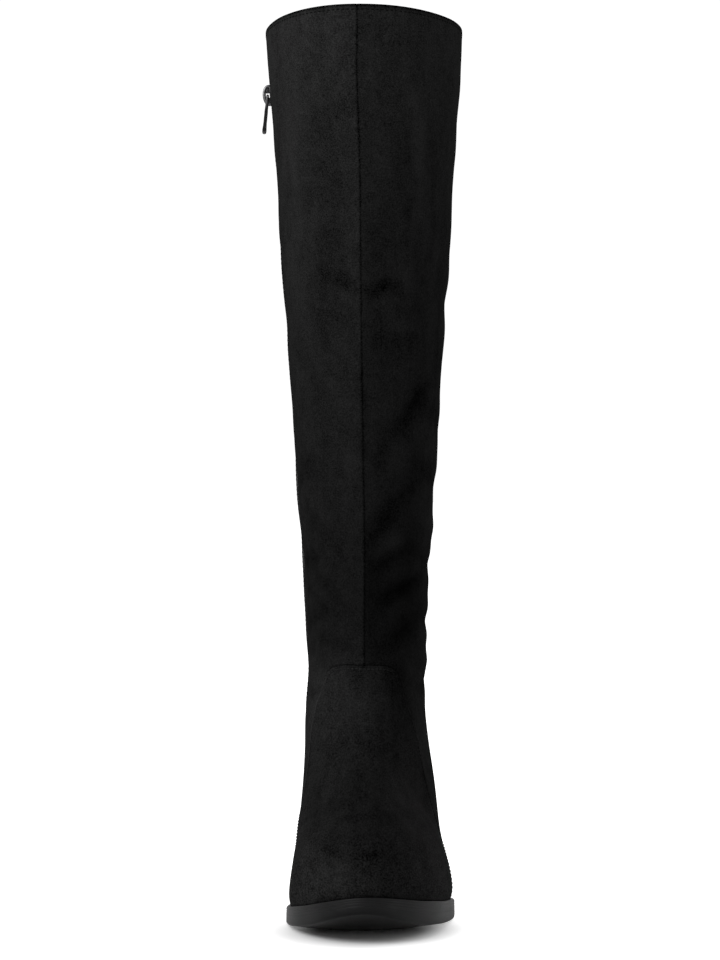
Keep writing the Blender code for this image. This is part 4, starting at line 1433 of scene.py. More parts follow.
# Each edge: its places, its profile, its painted shade towards the hidden side, and whether it
# closes.
shaft_edges = (
    (under_vamp, UNDERLAP_PROFILE, 0.0, False),
    (round_slot, SLOT_PROFILE, -0.3, True),
    (collar, COLLAR_PROFILE, -0.6, True),
    (feather, FEATHER_PROFILE, -0.5, False),
)
shaft_faces = quads(*shaft.shape[:2], ring=True, kept=kept)
make_panel("shaft_suede", shaft, normals, shaft_faces, shaft_edges, shade, tone, bare)

# %% [markdown]
# ## The vamp
# The vamp is the piece that is pulled hardest over the last, so it is nearly smooth. It lies
# on the quarters with a cut edge, so its grid ends exactly at the U, it stands a little
# proud there, and a rolled strip gives the edge its thickness.

# %% Surface of the vamp
VAMP_ROWS = 104
VAMP_COLUMNS = 116
OVERLAP = 0.45
OVERLAP_REACH = 5.0
# How wide the change of tone is across the middle of the toe, from the inner side's painted light
# to the outer side's painted shade.
MIDDLE_BLEND = 9.0


def lap_lift(points):
    """How much the vamp stands proud: a bell of its distance from its own edge."""
    gap, _ = path_distance(points, edge_path, 3.0 * OVERLAP_REACH)
    return OVERLAP * bell(gap, OVERLAP_REACH)


def step_down(value, middle, softness):
    """1 well below a middle value and 0 well above it: 1 / (1 + e^((v - middle) / softness))."""
    return 1.0 / (1.0 + np.exp((value - middle) / softness))


across = np.append(crowded(VAMP_COLUMNS - 1), 1.0)
inner, outer = vamp_turns(CORNER_LEVEL)
top = tongue_level(-inner + (inner + outer) * across)
levels = np.linspace(0.0, 1.0, VAMP_ROWS)[:, None] * top[None, :]
inner, outer = vamp_turns(levels)
turns = -inner + (inner + outer) * across[None, :]
bare = last_point(levels, turns)
normals = last_normal(levels, turns)
height, shade = suede_height(levels, turns, bare)
vamp = bare + (height + lap_lift(bare))[..., None] * normals
tone = nap_and_light_tone(bare, step_down(bare[..., 0], 0.0, MIDDLE_BLEND))
print("suede of the vamp:", round(height.min(), 2), "to", round(height.max(), 2), "mm proud")

# %% The vamp's painted leg highlight and its edges
# Along its inner leg the vamp's cut edge gets a painted highlight in a narrow line, where it faces
# the key light: its strength, its distance from the edge, its half width, how far it is looked for,
# and where it ends.
LEG_HIGHLIGHT = 0.6
LEG_LINE = 0.3
LEG_LINE_WIDTH = 1.1
LEG_LINE_REACH = 6.0
LEG_END = -22.0
LEG_END_SOFTNESS = 2.5
VAMP_COMBED = 0.4
LAP_PROFILE = ((0, 0), (0.22, 0.04), (0.42, 0.2), (0.5, 0.5), (0.45, 1.2))

leg_gap, _ = path_distance(bare, edge_path, LEG_LINE_REACH)
leg_highlight = LEG_HIGHLIGHT * bell(leg_gap - LEG_LINE, LEG_LINE_WIDTH)
shade = shade + leg_highlight * step_down(bare[..., 0], LEG_END, LEG_END_SOFTNESS)
leg = np.arange(VAMP_ROWS)
cut_edge = chain(
    run(leg, 0),
    run(VAMP_ROWS - 1, np.arange(1, VAMP_COLUMNS - 1)),
    run(leg[::-1], VAMP_COLUMNS - 1),
)
# The vamp's cut edge is darkest: painted shade of the gap under it, with the raw cut's own darker
# colour.
vamp_edges = (
    (cut_edge, LAP_PROFILE, -1.2, False),
    (run(0, np.arange(VAMP_COLUMNS)[::-1]), FEATHER_PROFILE, -0.5, False),
)
vamp_faces = quads(*vamp.shape[:2])
make_panel("vamp_suede", vamp, normals, vamp_faces, vamp_edges, shade, tone, bare, VAMP_COMBED)

# %% [markdown]
# ## Lining
# Inside is a woven lining, sewn to the suede under the folded collar. It follows the suede's
# folds from within, so it is the same surface moved inwards along its normals, and it faces
# the other way. Its weave needs a flat place for each point: millimetres round the shaft and
# millimetres up, which are kept as a UV map.

# %% Lining
LINING_DEPTH = 2.05
HEM_DEPTH = 0.85
HEM_REACH = 14.0
LINING_BOTTOM = 0.35
LINING_TOP = COLLAR_LEVEL - 0.27
LINING_ROWS = 150
LINING_COLUMNS = 150
# the last rows are the lining's folded top edge: level, depth below the suede.
LINING_EDGE = ((0.012, 2.75), (0.018, 2.4), (0.014, 1.9))
# One cell of the flat cloth, in millimetres.
CLOTH_CELL = (2.2, 3.4)

rows = np.linspace(LINING_BOTTOM, LINING_TOP, LINING_ROWS - len(LINING_EDGE))
hem = bell((LINING_TOP - rows) * COLLAR_LEVEL_HEIGHT, HEM_REACH)
depths = np.append(LINING_DEPTH + HEM_DEPTH * hem, [depth for _, depth in LINING_EDGE])
rows = np.append(rows, [LINING_TOP + rise for rise, _ in LINING_EDGE])
levels, turns = np.meshgrid(rows, np.arange(LINING_COLUMNS) / LINING_COLUMNS, indexing="ij")
bare = last_point(levels, turns)
height, _ = suede_height(levels, turns, bare)
drop = np.minimum(height, 0.0) - depths[:, None]
inside = bare + drop[..., None] * last_normal(levels, turns)
faces = quads(LINING_ROWS, LINING_COLUMNS, ring=True)[:, ::-1]
corner_rows, corner_columns = np.divmod(faces, LINING_COLUMNS)
wrapped = (corner_columns.max(axis=1) - corner_columns.min(axis=1)) > 1
last_seam = wrapped[:, None] & (corner_columns == 0)
corner_columns = np.where(last_seam, LINING_COLUMNS, corner_columns)
flat_cloth = np.stack([corner_columns * CLOTH_CELL[0], corner_rows * CLOTH_CELL[1]], axis=-1) * MM
make_piece("lining", [(inside, faces)], lining_cloth, "upper", cloth=flat_cloth)

# %% [markdown]
# ## Sole unit
# The sole is one moulded piece as long as the foot. Its edge is carried round the outline as
# a profile: rounded below, three fine lines pressed into the upper half, and a small rounded
# rim where it meets the suede. The tread underneath is plain with a few shallow grooves
# across, drawn between the two sides of the outline so that its faces stay regular.

# %% Profile of the sole
SOLE_COLUMNS = 400
RIM_INSET = 4.5
TREAD_STEPS = 18

# share of the edge's height, how far in from the outline, in millimetres.
SOLE_PROFILE = (
    (0, 1), (0.02, 0.55), (0.06, 0.22), (0.12, 0.05), (0.20, 0), (0.34, 0),
    (0.455, 0), (0.475, 0.10), (0.49, 0.20), (0.505, 0.10), (0.525, 0),
    (0.60, 0.02), (0.645, 0.02), (0.665, 0.12), (0.68, 0.22), (0.695, 0.12), (0.715, 0.02),
    (0.775, 0.05), (0.795, 0.15), (0.81, 0.25), (0.825, 0.15), (0.845, 0.06),
    (0.90, 0.10), (0.945, 0.22), (0.975, 0.42), (0.995, 0.75), (1, 1.15),
)


def shrunk(plan, inset):
    """A closed plan line moved inwards by an inset along its normals."""
    steps = np.roll(plan, -1, axis=0) - np.roll(plan, 1, axis=0)
    return plan + inset * unit(np.stack([-steps[:, 1], steps[:, 0]], axis=-1))


def sole_rows(turns):
    """Rows of the sole's edge, from the rim of the tread up and in under the upper."""
    rows = []
    for share, inset in (*SOLE_PROFILE, (1.0, RIM_INSET)):
        plan = shrunk(outline_plan(turns), inset)
        low, high = sole_under(*plan.T), sole_top(*plan.T)
        rows.append(np.column_stack([plan, low + share * (high - low)]))
    return np.stack(rows)


edge_rows = sole_rows(np.arange(SOLE_COLUMNS) / SOLE_COLUMNS)
print("sole's edge:", edge_rows.shape[0], "rows of", edge_rows.shape[1], "points")

# %% Tread of the sole
TREAD_STEPS = 18
DECK_STEPS = 6


def tread_patch(rim, steps, relief_height):
    """Faces between the outer and inner halves of a ring: straight rungs with a height rule."""
    half = len(rim) // 2
    outer_side = rim[: half + 1]
    inner_side = np.concatenate([rim[:1], rim[:half - 1:-1]])
    share = np.linspace(0.0, 1.0, steps + 1)[None, :, None]
    patch = outer_side[:, None, :] * (1.0 - share) + inner_side[:, None, :] * share
    cover = np.minimum(share[..., 0], 1.0 - share[..., 0])
    ruled = relief_height(patch[..., 0], patch[..., 1])
    patch[..., 2] = np.where(cover > 0.0, ruled, patch[..., 2])
    return patch


def tread_height(x, y, pitch=9.0, slant=0.12, depth=0.7, front=-150.0, back=-104.0, soft=2.5):
    """Underside: the sole's own, less shallow rounded grooves across the forefoot."""
    bars = np.maximum(np.sin(TAU * (y - slant * x) / pitch), 0.0) ** 6
    zone = step_down(y, back, soft) * step_down(-y, -front, soft)
    return sole_under(x, y) + depth * bars * zone


tread = tread_patch(edge_rows[0], TREAD_STEPS, tread_height)
deck = tread_patch(edge_rows[-1], DECK_STEPS, sole_top)
print("tread's lowest point:", round(float(tread[..., 2].min()), 2), "mm")

# %% Painted shade and highlights of the sole
# The resin reads a number, under, of painted shade: 1 where it is darkest. It is high on the tread
# and towards the bottom of the edge, where the sole is in shade, and at the outer side, away from
# the key light. It is lower near the toe's tip, where the tread catches light from the floor, and
# at two painted highlights on the toe's face. On the edge it goes by the share of the edge's
# height.
EDGE_SHADES = ((0, 0.5), (0.12, 0.4), (0.5, 0))
TOE_LIGHT = 0.42
TOE_LIGHT_END = -205.0
OUTER_SHADE = 0.4
OUTER_SHADE_RANGE = (30.0, 42.0)
# Two painted highlights on the toe's face: x, half width, strength.
TOE_HIGHLIGHTS = ((-12, 9, 1.2), (16, 5, 0.7))
TOE_HIGHLIGHT_END = -195.0
TOE_HIGHLIGHT_SOFTNESS = 4.0

x, y = edge_rows[..., 0], edge_rows[..., 1]
shares = [share for share, _ in SOLE_PROFILE] + [1.0]
rim_shade = np.interp(shares, *zip(*EDGE_SHADES))[:, None]
outer_shade = OUTER_SHADE * smooth(OUTER_SHADE_RANGE, (0.0, 1.0), x)
toe_highlights = sum(strength * bell(x - middle, width) for middle, width, strength in TOE_HIGHLIGHTS)
toe_highlights = toe_highlights * step_down(y, TOE_HIGHLIGHT_END, TOE_HIGHLIGHT_SOFTNESS) * (1.0 - 2.0 * rim_shade)
edge_under = rim_shade + outer_shade - toe_highlights
toe_light = TOE_LIGHT * smooth((TOE_TIP, TOE_LIGHT_END), (1.0, 0.0), tread[..., 1])
under = (edge_under, 1.0 - toe_light, np.zeros(deck.shape[:2]))
make_piece(
    "sole_unit", [skin(edge_rows, True), skin(tread), skin(deck, inward=True)],
    resin, "outsole",
    values={"under": np.concatenate([part.ravel() for part in under])},
)

# %% [markdown]
# ## Heel and tip
# A block heel is built from thin layers on a form, sanded to shape and finished black. It has
# a flat breast to the front and a round back, and it tapers to the floor. We take its plan
# outline from the sole's own, round the two breast corners by averaging along the outline,
# and shrink it towards the floor by a power, so the sides curve in near the seat.

# %% Plan of the heel
HEEL_FLOOR_LENGTH = 52.0
HEEL_FLOOR_WIDTH = 56.0
HEEL_COLUMNS = 360
ARC_SAMPLES = 600
CORNER_ROUND = 1.6
# The outline is averaged at this many points for each point that is kept.
DENSER = 4


def interpolated(at, passed, values):
    """Rows of values, known at the lengths passed, at other lengths."""
    columns = [np.interp(at, passed, values[:, axis]) for axis in range(values.shape[1])]
    return np.stack(columns, axis=-1)


def heel_plan(drop):
    """Plan outline of the heel: the sole's own at drop 0, the floor's oval at drop 1.

    The breast is a straight line between the ends of the arc. The outline is sampled at
    even steps and averaged over a short window, which rounds the corners.
    """
    breast = float(station_angle((HEEL_BREAST - TOE_TIP) / SOLE_LENGTH)) / TAU
    seat_x, seat_y = outline_plan(np.linspace(breast, 1.0 - breast, ARC_SAMPLES)).T
    share = (seat_y - HEEL_BREAST) / (HEEL_BACK - HEEL_BREAST)
    floor_y = HEEL_FLOOR_LENGTH * (share - 0.5)
    floor_x = seat_x * HEEL_FLOOR_WIDTH / np.ptp(seat_x)
    floor_x = floor_x - (floor_x.max() + floor_x.min()) / 2.0
    line = np.column_stack([seat_x + (floor_x - seat_x) * drop, seat_y + (floor_y - seat_y) * drop])
    line = np.concatenate([line, line[:1]])
    passed = passed_lengths(line)
    count = DENSER * HEEL_COLUMNS
    dense = interpolated(np.arange(count) / float(count) * passed[-1], passed, line)
    reach = int(round(CORNER_ROUND / (passed[-1] / count)))
    window = np.hanning(2 * reach + 3)[1:-1]
    window = window / window.sum()
    shifts = range(-reach, reach + 1)
    rounded = sum(weight * np.roll(dense, shift, axis=0) for weight, shift in zip(window, shifts))
    return rounded[::DENSER]


floor_plan = heel_plan(1.0)
print("heel on the floor:", np.round(np.ptp(floor_plan, axis=0), 1).tolist(), "mm")

# %% Heel block and its rubber tip
HEEL_ROWS = 40
HEEL_CURVE = 0.8
LIFT_THICKNESS = 6.0
# The block starts just above the tip and ends just inside the sole, in millimetres.
ABOVE_TIP = 0.05
INTO_SOLE = 0.3
# height above the floor, inset.
LIFT_PROFILE = (
    (0, 1), (0.12, 0.55), (0.4, 0.2), (0.9, 0.03), (1.6, 0), (3.4, 0), (4.4, 0),
    (5.4, 0.03), (5.75, 0.12), (5.95, 0.3), (6, 0.7),
)


def closed_stack(rows):
    """Rows of rings with a pole added below and above, as a grid that merging closes."""
    poles = [np.broadcast_to(row.mean(axis=0), row.shape) for row in (rows[0], rows[-1])]
    return np.concatenate([poles[:1], rows, poles[1:]])


heel_rows = []
for share in np.linspace(1.0, 0.0, HEEL_ROWS):
    plan = heel_plan(share**HEEL_CURVE)
    seat = sole_bottom(*plan.T) + INTO_SOLE
    up = share * (LIFT_THICKNESS + ABOVE_TIP) + (1.0 - share) * seat
    heel_rows.append(np.column_stack([plan, up]))
lift_rows = [
    np.column_stack([shrunk(floor_plan, inset), np.full(HEEL_COLUMNS, up)])
    for up, inset in LIFT_PROFILE
]
for name, rings, finish, slot, node, sharp in (
    ("heel_block", heel_rows, stack, "black_heel_stack", "heel", 50.0),
    ("heel_tip", lift_rows, rubber, "black_rubber", "top_lift", 60.0),
):
    grid = closed_stack(np.stack(rings))
    make_piece(name, [skin(grid, True)], finish, node, sharp=sharp)
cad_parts["insole"].data.materials.clear()
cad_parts["insole"].data.materials.append(footbed_cloth)

# %% [markdown]
# ## The zip
# It is a coil zip: on each tape a nylon line is wound into a flat coil and stitched down, and
# the two coils mesh as the slider closes them. Everything is laid along one line on the
# boot, so a helper turns millimetres along, across and below the surface into a place.
# A coil is then a flattened helix, and the tapes are narrow woven strips.

# %% Millimetres along the zip
ZIP_SAMPLES = 1601
SLIDER_HEIGHT = 479.5
zip_levels = np.linspace(ZIP_LEVELS[0], ZIP_LEVELS[1], ZIP_SAMPLES)
zip_line = last_point(zip_levels, zip_turn(zip_levels))
zip_out = last_normal(zip_levels, zip_turn(zip_levels))
zip_passed = passed_lengths(zip_line)
zip_right = unit(np.cross(unit(np.gradient(zip_line, axis=0)), zip_out))
zip_sunk, _ = suede_height(zip_levels, zip_turn(zip_levels), zip_line)
zip_length = zip_passed[-1]
slider_along = float(np.interp(SLIDER_HEIGHT, zip_line[:, 2], zip_passed))


def on_zip(along, across, depth):
    """Place from millimetres along the zip, across it to the front, and below the suede."""
    along, across, depth = np.broadcast_arrays(along, across, depth)
    line, right, out = (
        interpolated(along, zip_passed, values) for values in (zip_line, zip_right, zip_out)
    )
    lift = np.interp(along, zip_passed, zip_sunk) - depth
    return line + across[..., None] * right + lift[..., None] * out


print("zip:", round(zip_length, 1), "mm, slider at", round(slider_along, 1), "mm")

# %% Coils
COIL_SPAN = (-0.35, 2.65)
COIL_DEPTH = (0.35, 1.45)
COIL_START = 1.2
# The coils end this far under the slider's middle, inside it.
COIL_END = 1.0
SIDES = ((1.0, "front"), (-1.0, "back"))


def signed_power(value, power):
    """A power of the size of a value, with the value's sign: it squares off a sine."""
    return np.sign(value) * np.abs(value) ** power


def tube(path, radius, sides, normal_hint):
    """A tube round a path: a circle in the plane of the hint and its cross with the path."""
    forward = unit(np.gradient(path, axis=0))
    first = unit(np.cross(forward, normal_hint))
    second = np.cross(first, forward)
    angle = TAU * np.arange(sides) / sides
    circle = np.cos(angle)[None, :, None] * first[:, None]
    circle = circle + np.sin(angle)[None, :, None] * second[:, None]
    return path[:, None, :] + radius * circle


def coil(side, start, end, pitch=1.35, radius=0.33, steps=12, sides=5, lean=0.35):
    """A flattened helix: rounded square waves across and in depth, one turn a pitch.

    The nylon's circle leans along the coil a little, as it does where it is wound.
    """
    count = int((end - start) / pitch) * steps
    phase = TAU * np.arange(count) / steps
    swing, dip = signed_power(np.cos(phase), 0.8), signed_power(np.sin(phase), 0.7)
    across = side * (sum(COIL_SPAN) / 2.0 + (COIL_SPAN[1] - COIL_SPAN[0]) / 2.0 * swing)
    half_depth = (COIL_DEPTH[1] - COIL_DEPTH[0] - 2.0 * radius) / 2.0
    depth = sum(COIL_DEPTH) / 2.0 + dip * half_depth
    along = start + pitch * (phase / TAU + (0.5 if side > 0 else 0.0))
    path = on_zip(along, across, depth)
    hint = unit(on_zip(along, across, depth + 1.0) - path)
    return tube(path, radius, sides, hint + lean * unit(np.gradient(path, axis=0)))


for side, label in SIDES:
    wound = coil(side, COIL_START, slider_along - COIL_END)
    make_piece(f"zip_coil_{label}", [skin(wound, True)], nylon, "zip_chain")

# %% Tapes
# across from the middle of the zip, depth below the suede, in millimetres.
TAPE_PROFILE = (
    (6.2, 1.85), (6.2, 1.35), (3.2, 1.3), (2.6, 1.35), (1.9, 1.5), (0.3, 1.55), (0.3, 1.85),
)
TAPE_SAMPLES = 300
TAPE_SPARE = 2.0

tape_steps = np.linspace(-TAPE_SPARE, zip_length + TAPE_SPARE, TAPE_SAMPLES)
for side, label in SIDES:
    across, depth = (np.array(column) for column in zip(*TAPE_PROFILE))
    strip = on_zip(tape_steps[:, None], side * across[None, :], depth[None, :])
    _, faces = skin(strip, True, side > 0)
    corner_rows, corner_columns = np.divmod(faces, len(across))
    flat_cloth = np.stack([across[corner_columns], tape_steps[corner_rows]], axis=-1) * MM
    make_piece(
        f"zip_tape_{label}", [(strip, faces)], tape_cloth, "zip_chain",
        cloth=flat_cloth,
    )

# %% [markdown]
# ## Slider and pull
# The slider is cast metal: two plates joined by a post, with a bridge over the outer one and two
# small lugs under it, which keep the pull's bar in its place. The pull is a flat tab whose eye goes
# round the bridge, thicker at its end to grip. Plates are rounded pillows: an outline carried
# through a thickness profile. The pull has a hole, so its surface is a ring: an inner and an outer
# outline, with a rounded section between the two. The plating gets a painted highlight on the
# bridge and at the pull's eye and tip, so each point keeps a number for that too.

# %% Plates of the slider
SLIDER_LENGTH = 12.5
# depth from the face, inset from the outline, in millimetres.
PLATE_PROFILE = ((0, 0.45), (0.08, 0.2), (0.25, 0.05), (0.45, 0))
# The outer plate, the inner plate and two lugs: top and bottom below the suede, half length,
# half width at the upper and the lower end, and shift along the zip.
PLATES = (
    (-0.35, 1, SLIDER_LENGTH / 2.0, 3.5, 2.9, 0),
    (3.1, 4.2, SLIDER_LENGTH / 2.0 - 0.6, 2.9, 2.5, 0),
    (-2.5, 0, 1.7, 1.15, 1.15, 3),
    (-1.8, 0, 1.7, 1.15, 1.15, -3),
)


def plate(top, bottom, half_length, half_top, half_bottom, shift, sides=96, square=0.625):
    """A pillow over a rounded outline that is wider at its upper end.

    Rings run from the outer face's middle to the inner face's, and the rim is rounded by
    the plate profile. Each ring has a depth and its share of the width and of the length.
    """
    angle = TAU * np.arange(sides) / sides
    along = signed_power(np.sin(angle), square)
    wide = (half_top + half_bottom) / 2.0 + (half_top - half_bottom) / 2.0 * along
    across = wide * signed_power(np.cos(angle), square)
    along = half_length * along
    rim = [(top + depth, inset) for depth, inset in PLATE_PROFILE]
    rim += [(bottom - depth, inset) for depth, inset in reversed(PLATE_PROFILE)]
    rings = [(top, 0.0, 0.0), (top, 0.5, 0.5)]
    rings += [(depth, 1.0 - inset / half_bottom, 1.0 - inset / half_length) for depth, inset in rim]
    rings += [(bottom, 0.5, 0.5), (bottom, 0.0, 0.0)]
    middle = slider_along + shift
    return np.stack(
        [on_zip(middle + along * longer, across * wider, depth) for depth, wider, longer in rings]
    )


plates = [plate(*sizes) for sizes in PLATES]
print("slider:", SLIDER_LENGTH, "mm long, with", len(plates) - 2, "lugs under the bridge")

# %% Bridge of the slider
BRIDGE_PROUD = 4.6
BRIDGE_THICKNESS = 2.0
BRIDGE_WIDTH = 2.8
# How strong the painted highlight is on the plates and on the bridge.
PLATE_LIGHT = 0.25
BRIDGE_LIGHT = 1.2


def bridge(steps=40, sides=12, turn_in=0.12, past=0.2, arch=0.7, square=0.55, taper=0.12):
    """The loop over the plate: a rounded bar along a flattened arch, its feet in the plate.

    The arch is a power of a sine, the bar's section a power of a circle, and the bar gets
    narrower to its ends by the cube of the way.
    """
    angle = np.linspace(-turn_in, np.pi + turn_in, steps)
    half_length = SLIDER_LENGTH / 2.0 - BRIDGE_THICKNESS / 2.0 + past
    proud = (BRIDGE_PROUD - BRIDGE_THICKNESS / 2.0) * signed_power(np.sin(angle), arch)
    along = slider_along - half_length * np.cos(angle)
    path = on_zip(along, 0.0, -proud)
    right = on_zip(along, 1.0, -proud) - path
    up = unit(np.cross(right, unit(np.gradient(path, axis=0))))
    turn = TAU * np.arange(sides) / sides
    flat = signed_power(np.cos(turn), square)[None, :, None]
    thick = signed_power(np.sin(turn), square)[None, :, None]
    narrower = 1.0 - taper * np.abs(np.linspace(-1.0, 1.0, steps)) ** 3
    wide = (BRIDGE_WIDTH / 2.0 * narrower)[:, None, None] * flat * right[:, None]
    deep = BRIDGE_THICKNESS / 2.0 * thick * up[:, None]
    return closed_stack(path[:, None] + wide + deep)


slider_parts = [skin(part, True, True) for part in plates] + [skin(bridge(), True)]
light_shares = [PLATE_LIGHT] * len(plates) + [BRIDGE_LIGHT]
slider_light = [np.full(part[..., 0].size, light_share) for (part, _), light_share in zip(slider_parts, light_shares)]
make_piece(
    "zip_slider_body", slider_parts, gunmetal, "zip_slider", sharp=60.0,
    values={"painted_light": np.concatenate(slider_light)},
)

# %% Shape of the pull tab
# distance below the pivot, half width, thickness, in millimetres.
PULL_SHAPE = (
    (-0.7, 3.2, 1.3), (0.5, 3.4, 1.5), (8, 3.4, 1.7), (10.2, 3.1, 1.9), (12.6, 2.5, 1.9),
    (18.2, 2.5, 1.9), (20, 2.75, 2.2), (21, 2.8, 2.4), (22.4, 2.75, 2.3), (23.4, 2.6, 1.6),
)
# top and bottom of the eye below the pivot, half width, rounding of its ends.
PULL_EYE = (0.75, 8.35, 1.9, 1.2)
# Rows round the section, from the eye over the front face: share of the way out, inset in
# corner roundings, share of half the thickness.
PULL_SECTION = (
    (0, 0, 0), (0, 0.12, 0.62), (0, 0.5, 0.9), (0, 1, 1), (0.35, 0, 1),
    (0.7, 0, 1), (1, -1, 1), (1, -0.5, 0.9), (1, -0.12, 0.62), (1, 0, 0),
    (1, -0.12, -0.62), (1, -0.5, -0.9), (1, -1, -1), (0.7, 0, -1),
    (0.35, 0, -1), (0, 1, -1), (0, 0.5, -0.9), (0, 0.12, -0.62),
)


def rounded_ends(value, low, high, radius):
    """1 in the middle of a range, falling to 0 at its ends as a circle's quarter does."""
    gap = np.minimum(value - low, high - value)
    share = np.clip(1.0 - gap / radius, 0.0, 1.0)
    return np.sqrt(np.clip(1.0 - share**2, 0.0, 1.0))


def pull_tab(count=144, square=0.8, end_round=1.5, corner_round=0.42):
    """The tab's ring of sections between its eye and its outline, in its own upright frame."""
    angle = TAU * (np.arange(count) + 0.5) / count
    below, half, thick = (np.array(column) for column in zip(*PULL_SHAPE))
    squash = signed_power(np.cos(angle), square)
    side = np.where(np.sin(angle) >= 0.0, 1.0, -1.0)
    top, bottom = below[0], below[-1]
    down = (top + bottom) / 2.0 - (bottom - top) / 2.0 * squash
    outer_half = smooth(below, half, down) * rounded_ends(down, top, bottom, end_round)
    outer = np.stack([side * outer_half, down], axis=-1)
    top, bottom, eye_half, eye_round = PULL_EYE
    down = (top + bottom) / 2.0 - (bottom - top) / 2.0 * squash
    inner_half = eye_half * rounded_ends(down, top, bottom, eye_round)
    inner = np.stack([side * inner_half, down], axis=-1)
    toward = unit(outer - inner)
    corner = np.minimum(corner_round, 0.4 * np.linalg.norm(outer - inner, axis=-1))
    rows = []
    for share, inset, level in PULL_SECTION:
        flat = inner + share * (outer - inner) + (inset * corner)[:, None] * toward
        depth = level * smooth(below, thick, flat[:, 1]) / 2.0
        rows.append(np.stack([depth, flat[:, 0], -flat[:, 1]], axis=-1))
    return np.stack(rows)


tab = pull_tab()
print("pull tab:", round(float(np.ptp(tab[..., 2])), 1), "mm long")

# %% Hang the pull tab
PULL_PIVOT = (-58.945, -12.306, 479.389)
PULL_TILT = math.radians(5.5)
# distance below the pivot, how strong the painted highlight is.
PULL_LIGHT = ((0, 0.9), (6, 0.6), (9, 0), (21, 0), (23.4, 1))

turned = np.stack(
    [
        tab[..., 0] * math.cos(PULL_TILT) + tab[..., 2] * math.sin(PULL_TILT),
        tab[..., 1],
        tab[..., 2] * math.cos(PULL_TILT) - tab[..., 0] * math.sin(PULL_TILT),
    ],
    axis=-1,
) + np.array(PULL_PIVOT)
# The grid closes on itself in both directions, so its last row is joined to its first.
ring = tab.shape[1]
wrap = quads(2, ring, ring=True)
wrap = np.where(wrap < ring, wrap + (len(tab) - 1) * ring, wrap - ring)
faces = np.concatenate([skin(tab, True)[1], wrap])[:, ::-1]
make_piece(
    "zip_pull_tab", [(turned, faces)], gunmetal, "zip_pull", body="zip_pull",
    sharp=50.0, values={"painted_light": smooth(*zip(*PULL_LIGHT), -tab[..., 2])},
)

# %% [markdown]
# ## Stitches
# Each stitch is a short length of thread that dips into the suede at both ends. There are
# hundreds, so one is kept to a few dozen faces: rings of six points that swell from a point
# and back, set along a path at an even pitch. Arrays place every stitch of a row at once.

# %% One row of stitches
THREAD_RADIUS = 0.27
THREAD_SIDES = 6
COLLAR_SAMPLES = 400
# share of half the stitch, share of the thread's radius.
STITCH_SWELL = (
    (-1, 0), (-0.86, 0.62), (-0.5, 0.95), (0, 1), (0.5, 0.95), (0.86, 0.62), (1, 0)
)


def stitch_row(path, outward, pitch=2.9, thread_share=0.74, rise=0.55, dip=0.9):
    """Points and faces of a row of stitches along a path of points with outward normals.

    A stitch takes its share of the pitch. Its middle stands a rise of thread radii over the
    path, and it dips towards its ends by the square of the way.
    """
    passed = passed_lengths(path)
    count = max(int(passed[-1] / pitch), 1)
    centre = (np.arange(count) + 0.5) * passed[-1] / count
    share, swell = (np.array(column) for column in zip(*STITCH_SWELL))
    along = centre[:, None] + thread_share * pitch / 2.0 * share[None, :]
    normal = unit(interpolated(along, passed, outward))
    lift = THREAD_RADIUS * (rise - dip * share**2)
    spine = interpolated(along, passed, path) + lift[None, :, None] * normal
    side = unit(np.cross(unit(np.gradient(spine, axis=1)), normal))
    up = np.cross(side, unit(np.gradient(spine, axis=1)))
    angle = TAU * np.arange(THREAD_SIDES) / THREAD_SIDES
    ring = np.cos(angle)[:, None] * side[:, :, None] + np.sin(angle)[:, None] * up[:, :, None]
    points = spine[:, :, None] + THREAD_RADIUS * swell[None, :, None, None] * ring
    starts = np.arange(count) * len(share) * THREAD_SIDES
    faces = quads(len(share), THREAD_SIDES, ring=True)[None] + starts[:, None, None]
    return points.reshape(-1, 3), faces.reshape(-1, 4)


def stitched_path(levels, turns, lift=0.0):
    """A path on the finished suede with its normals."""
    points = last_point(levels, turns)
    outward = last_normal(levels, turns)
    height, _ = suede_height(levels, turns, points)
    return points + (height + lift)[:, None] * outward, outward


collar_turns = np.linspace(0.0, 1.0, COLLAR_SAMPLES)
stitch_level = COLLAR_LEVEL - COLLAR_STITCH / COLLAR_LEVEL_HEIGHT
collar_levels = np.full_like(collar_turns, stitch_level)
rows_of_stitches = [stitch_row(*stitched_path(collar_levels, collar_turns))]
print("points of thread round the collar:", len(rows_of_stitches[0][0]))

# %% Stitches of the vamp and the slot
# Millimetres in from the vamp's edge, the pitch, and the levels below the edge at which the
# suede's height is read.
LAP_STITCH = 1.9
LAP_STITCH_PITCH = 2.4
BELOW_EDGE = 0.1
SLOT_STITCH = 2.2
SLOT_STITCH_SUNK = 0.26
SLOT_SAMPLES = 500
# The thread on the vamp gets painted light, where it faces the light from above, and stays in
# painted shade elsewhere and on the vamp's outer leg: its number before and after, then the x where
# it changes and how softly.
THREAD_LIGHT = (0.15, 0.85)
THREAD_LIGHT_END = 12.0
THREAD_LIGHT_SOFTNESS = 3.0

lap_out = last_normal(edge_levels, edge_turns)
lap_path = edge_path + LAP_STITCH * unit(np.cross(lap_out, np.gradient(edge_path, axis=0)))
below_edge = np.maximum(edge_levels - BELOW_EDGE, 0.0)
lap_height, _ = suede_height(below_edge, edge_turns, edge_path)
lap_path = lap_path + (lap_height + lap_lift(lap_path))[:, None] * lap_out
rows_of_stitches.append(stitch_row(lap_path, lap_out, LAP_STITCH_PITCH))

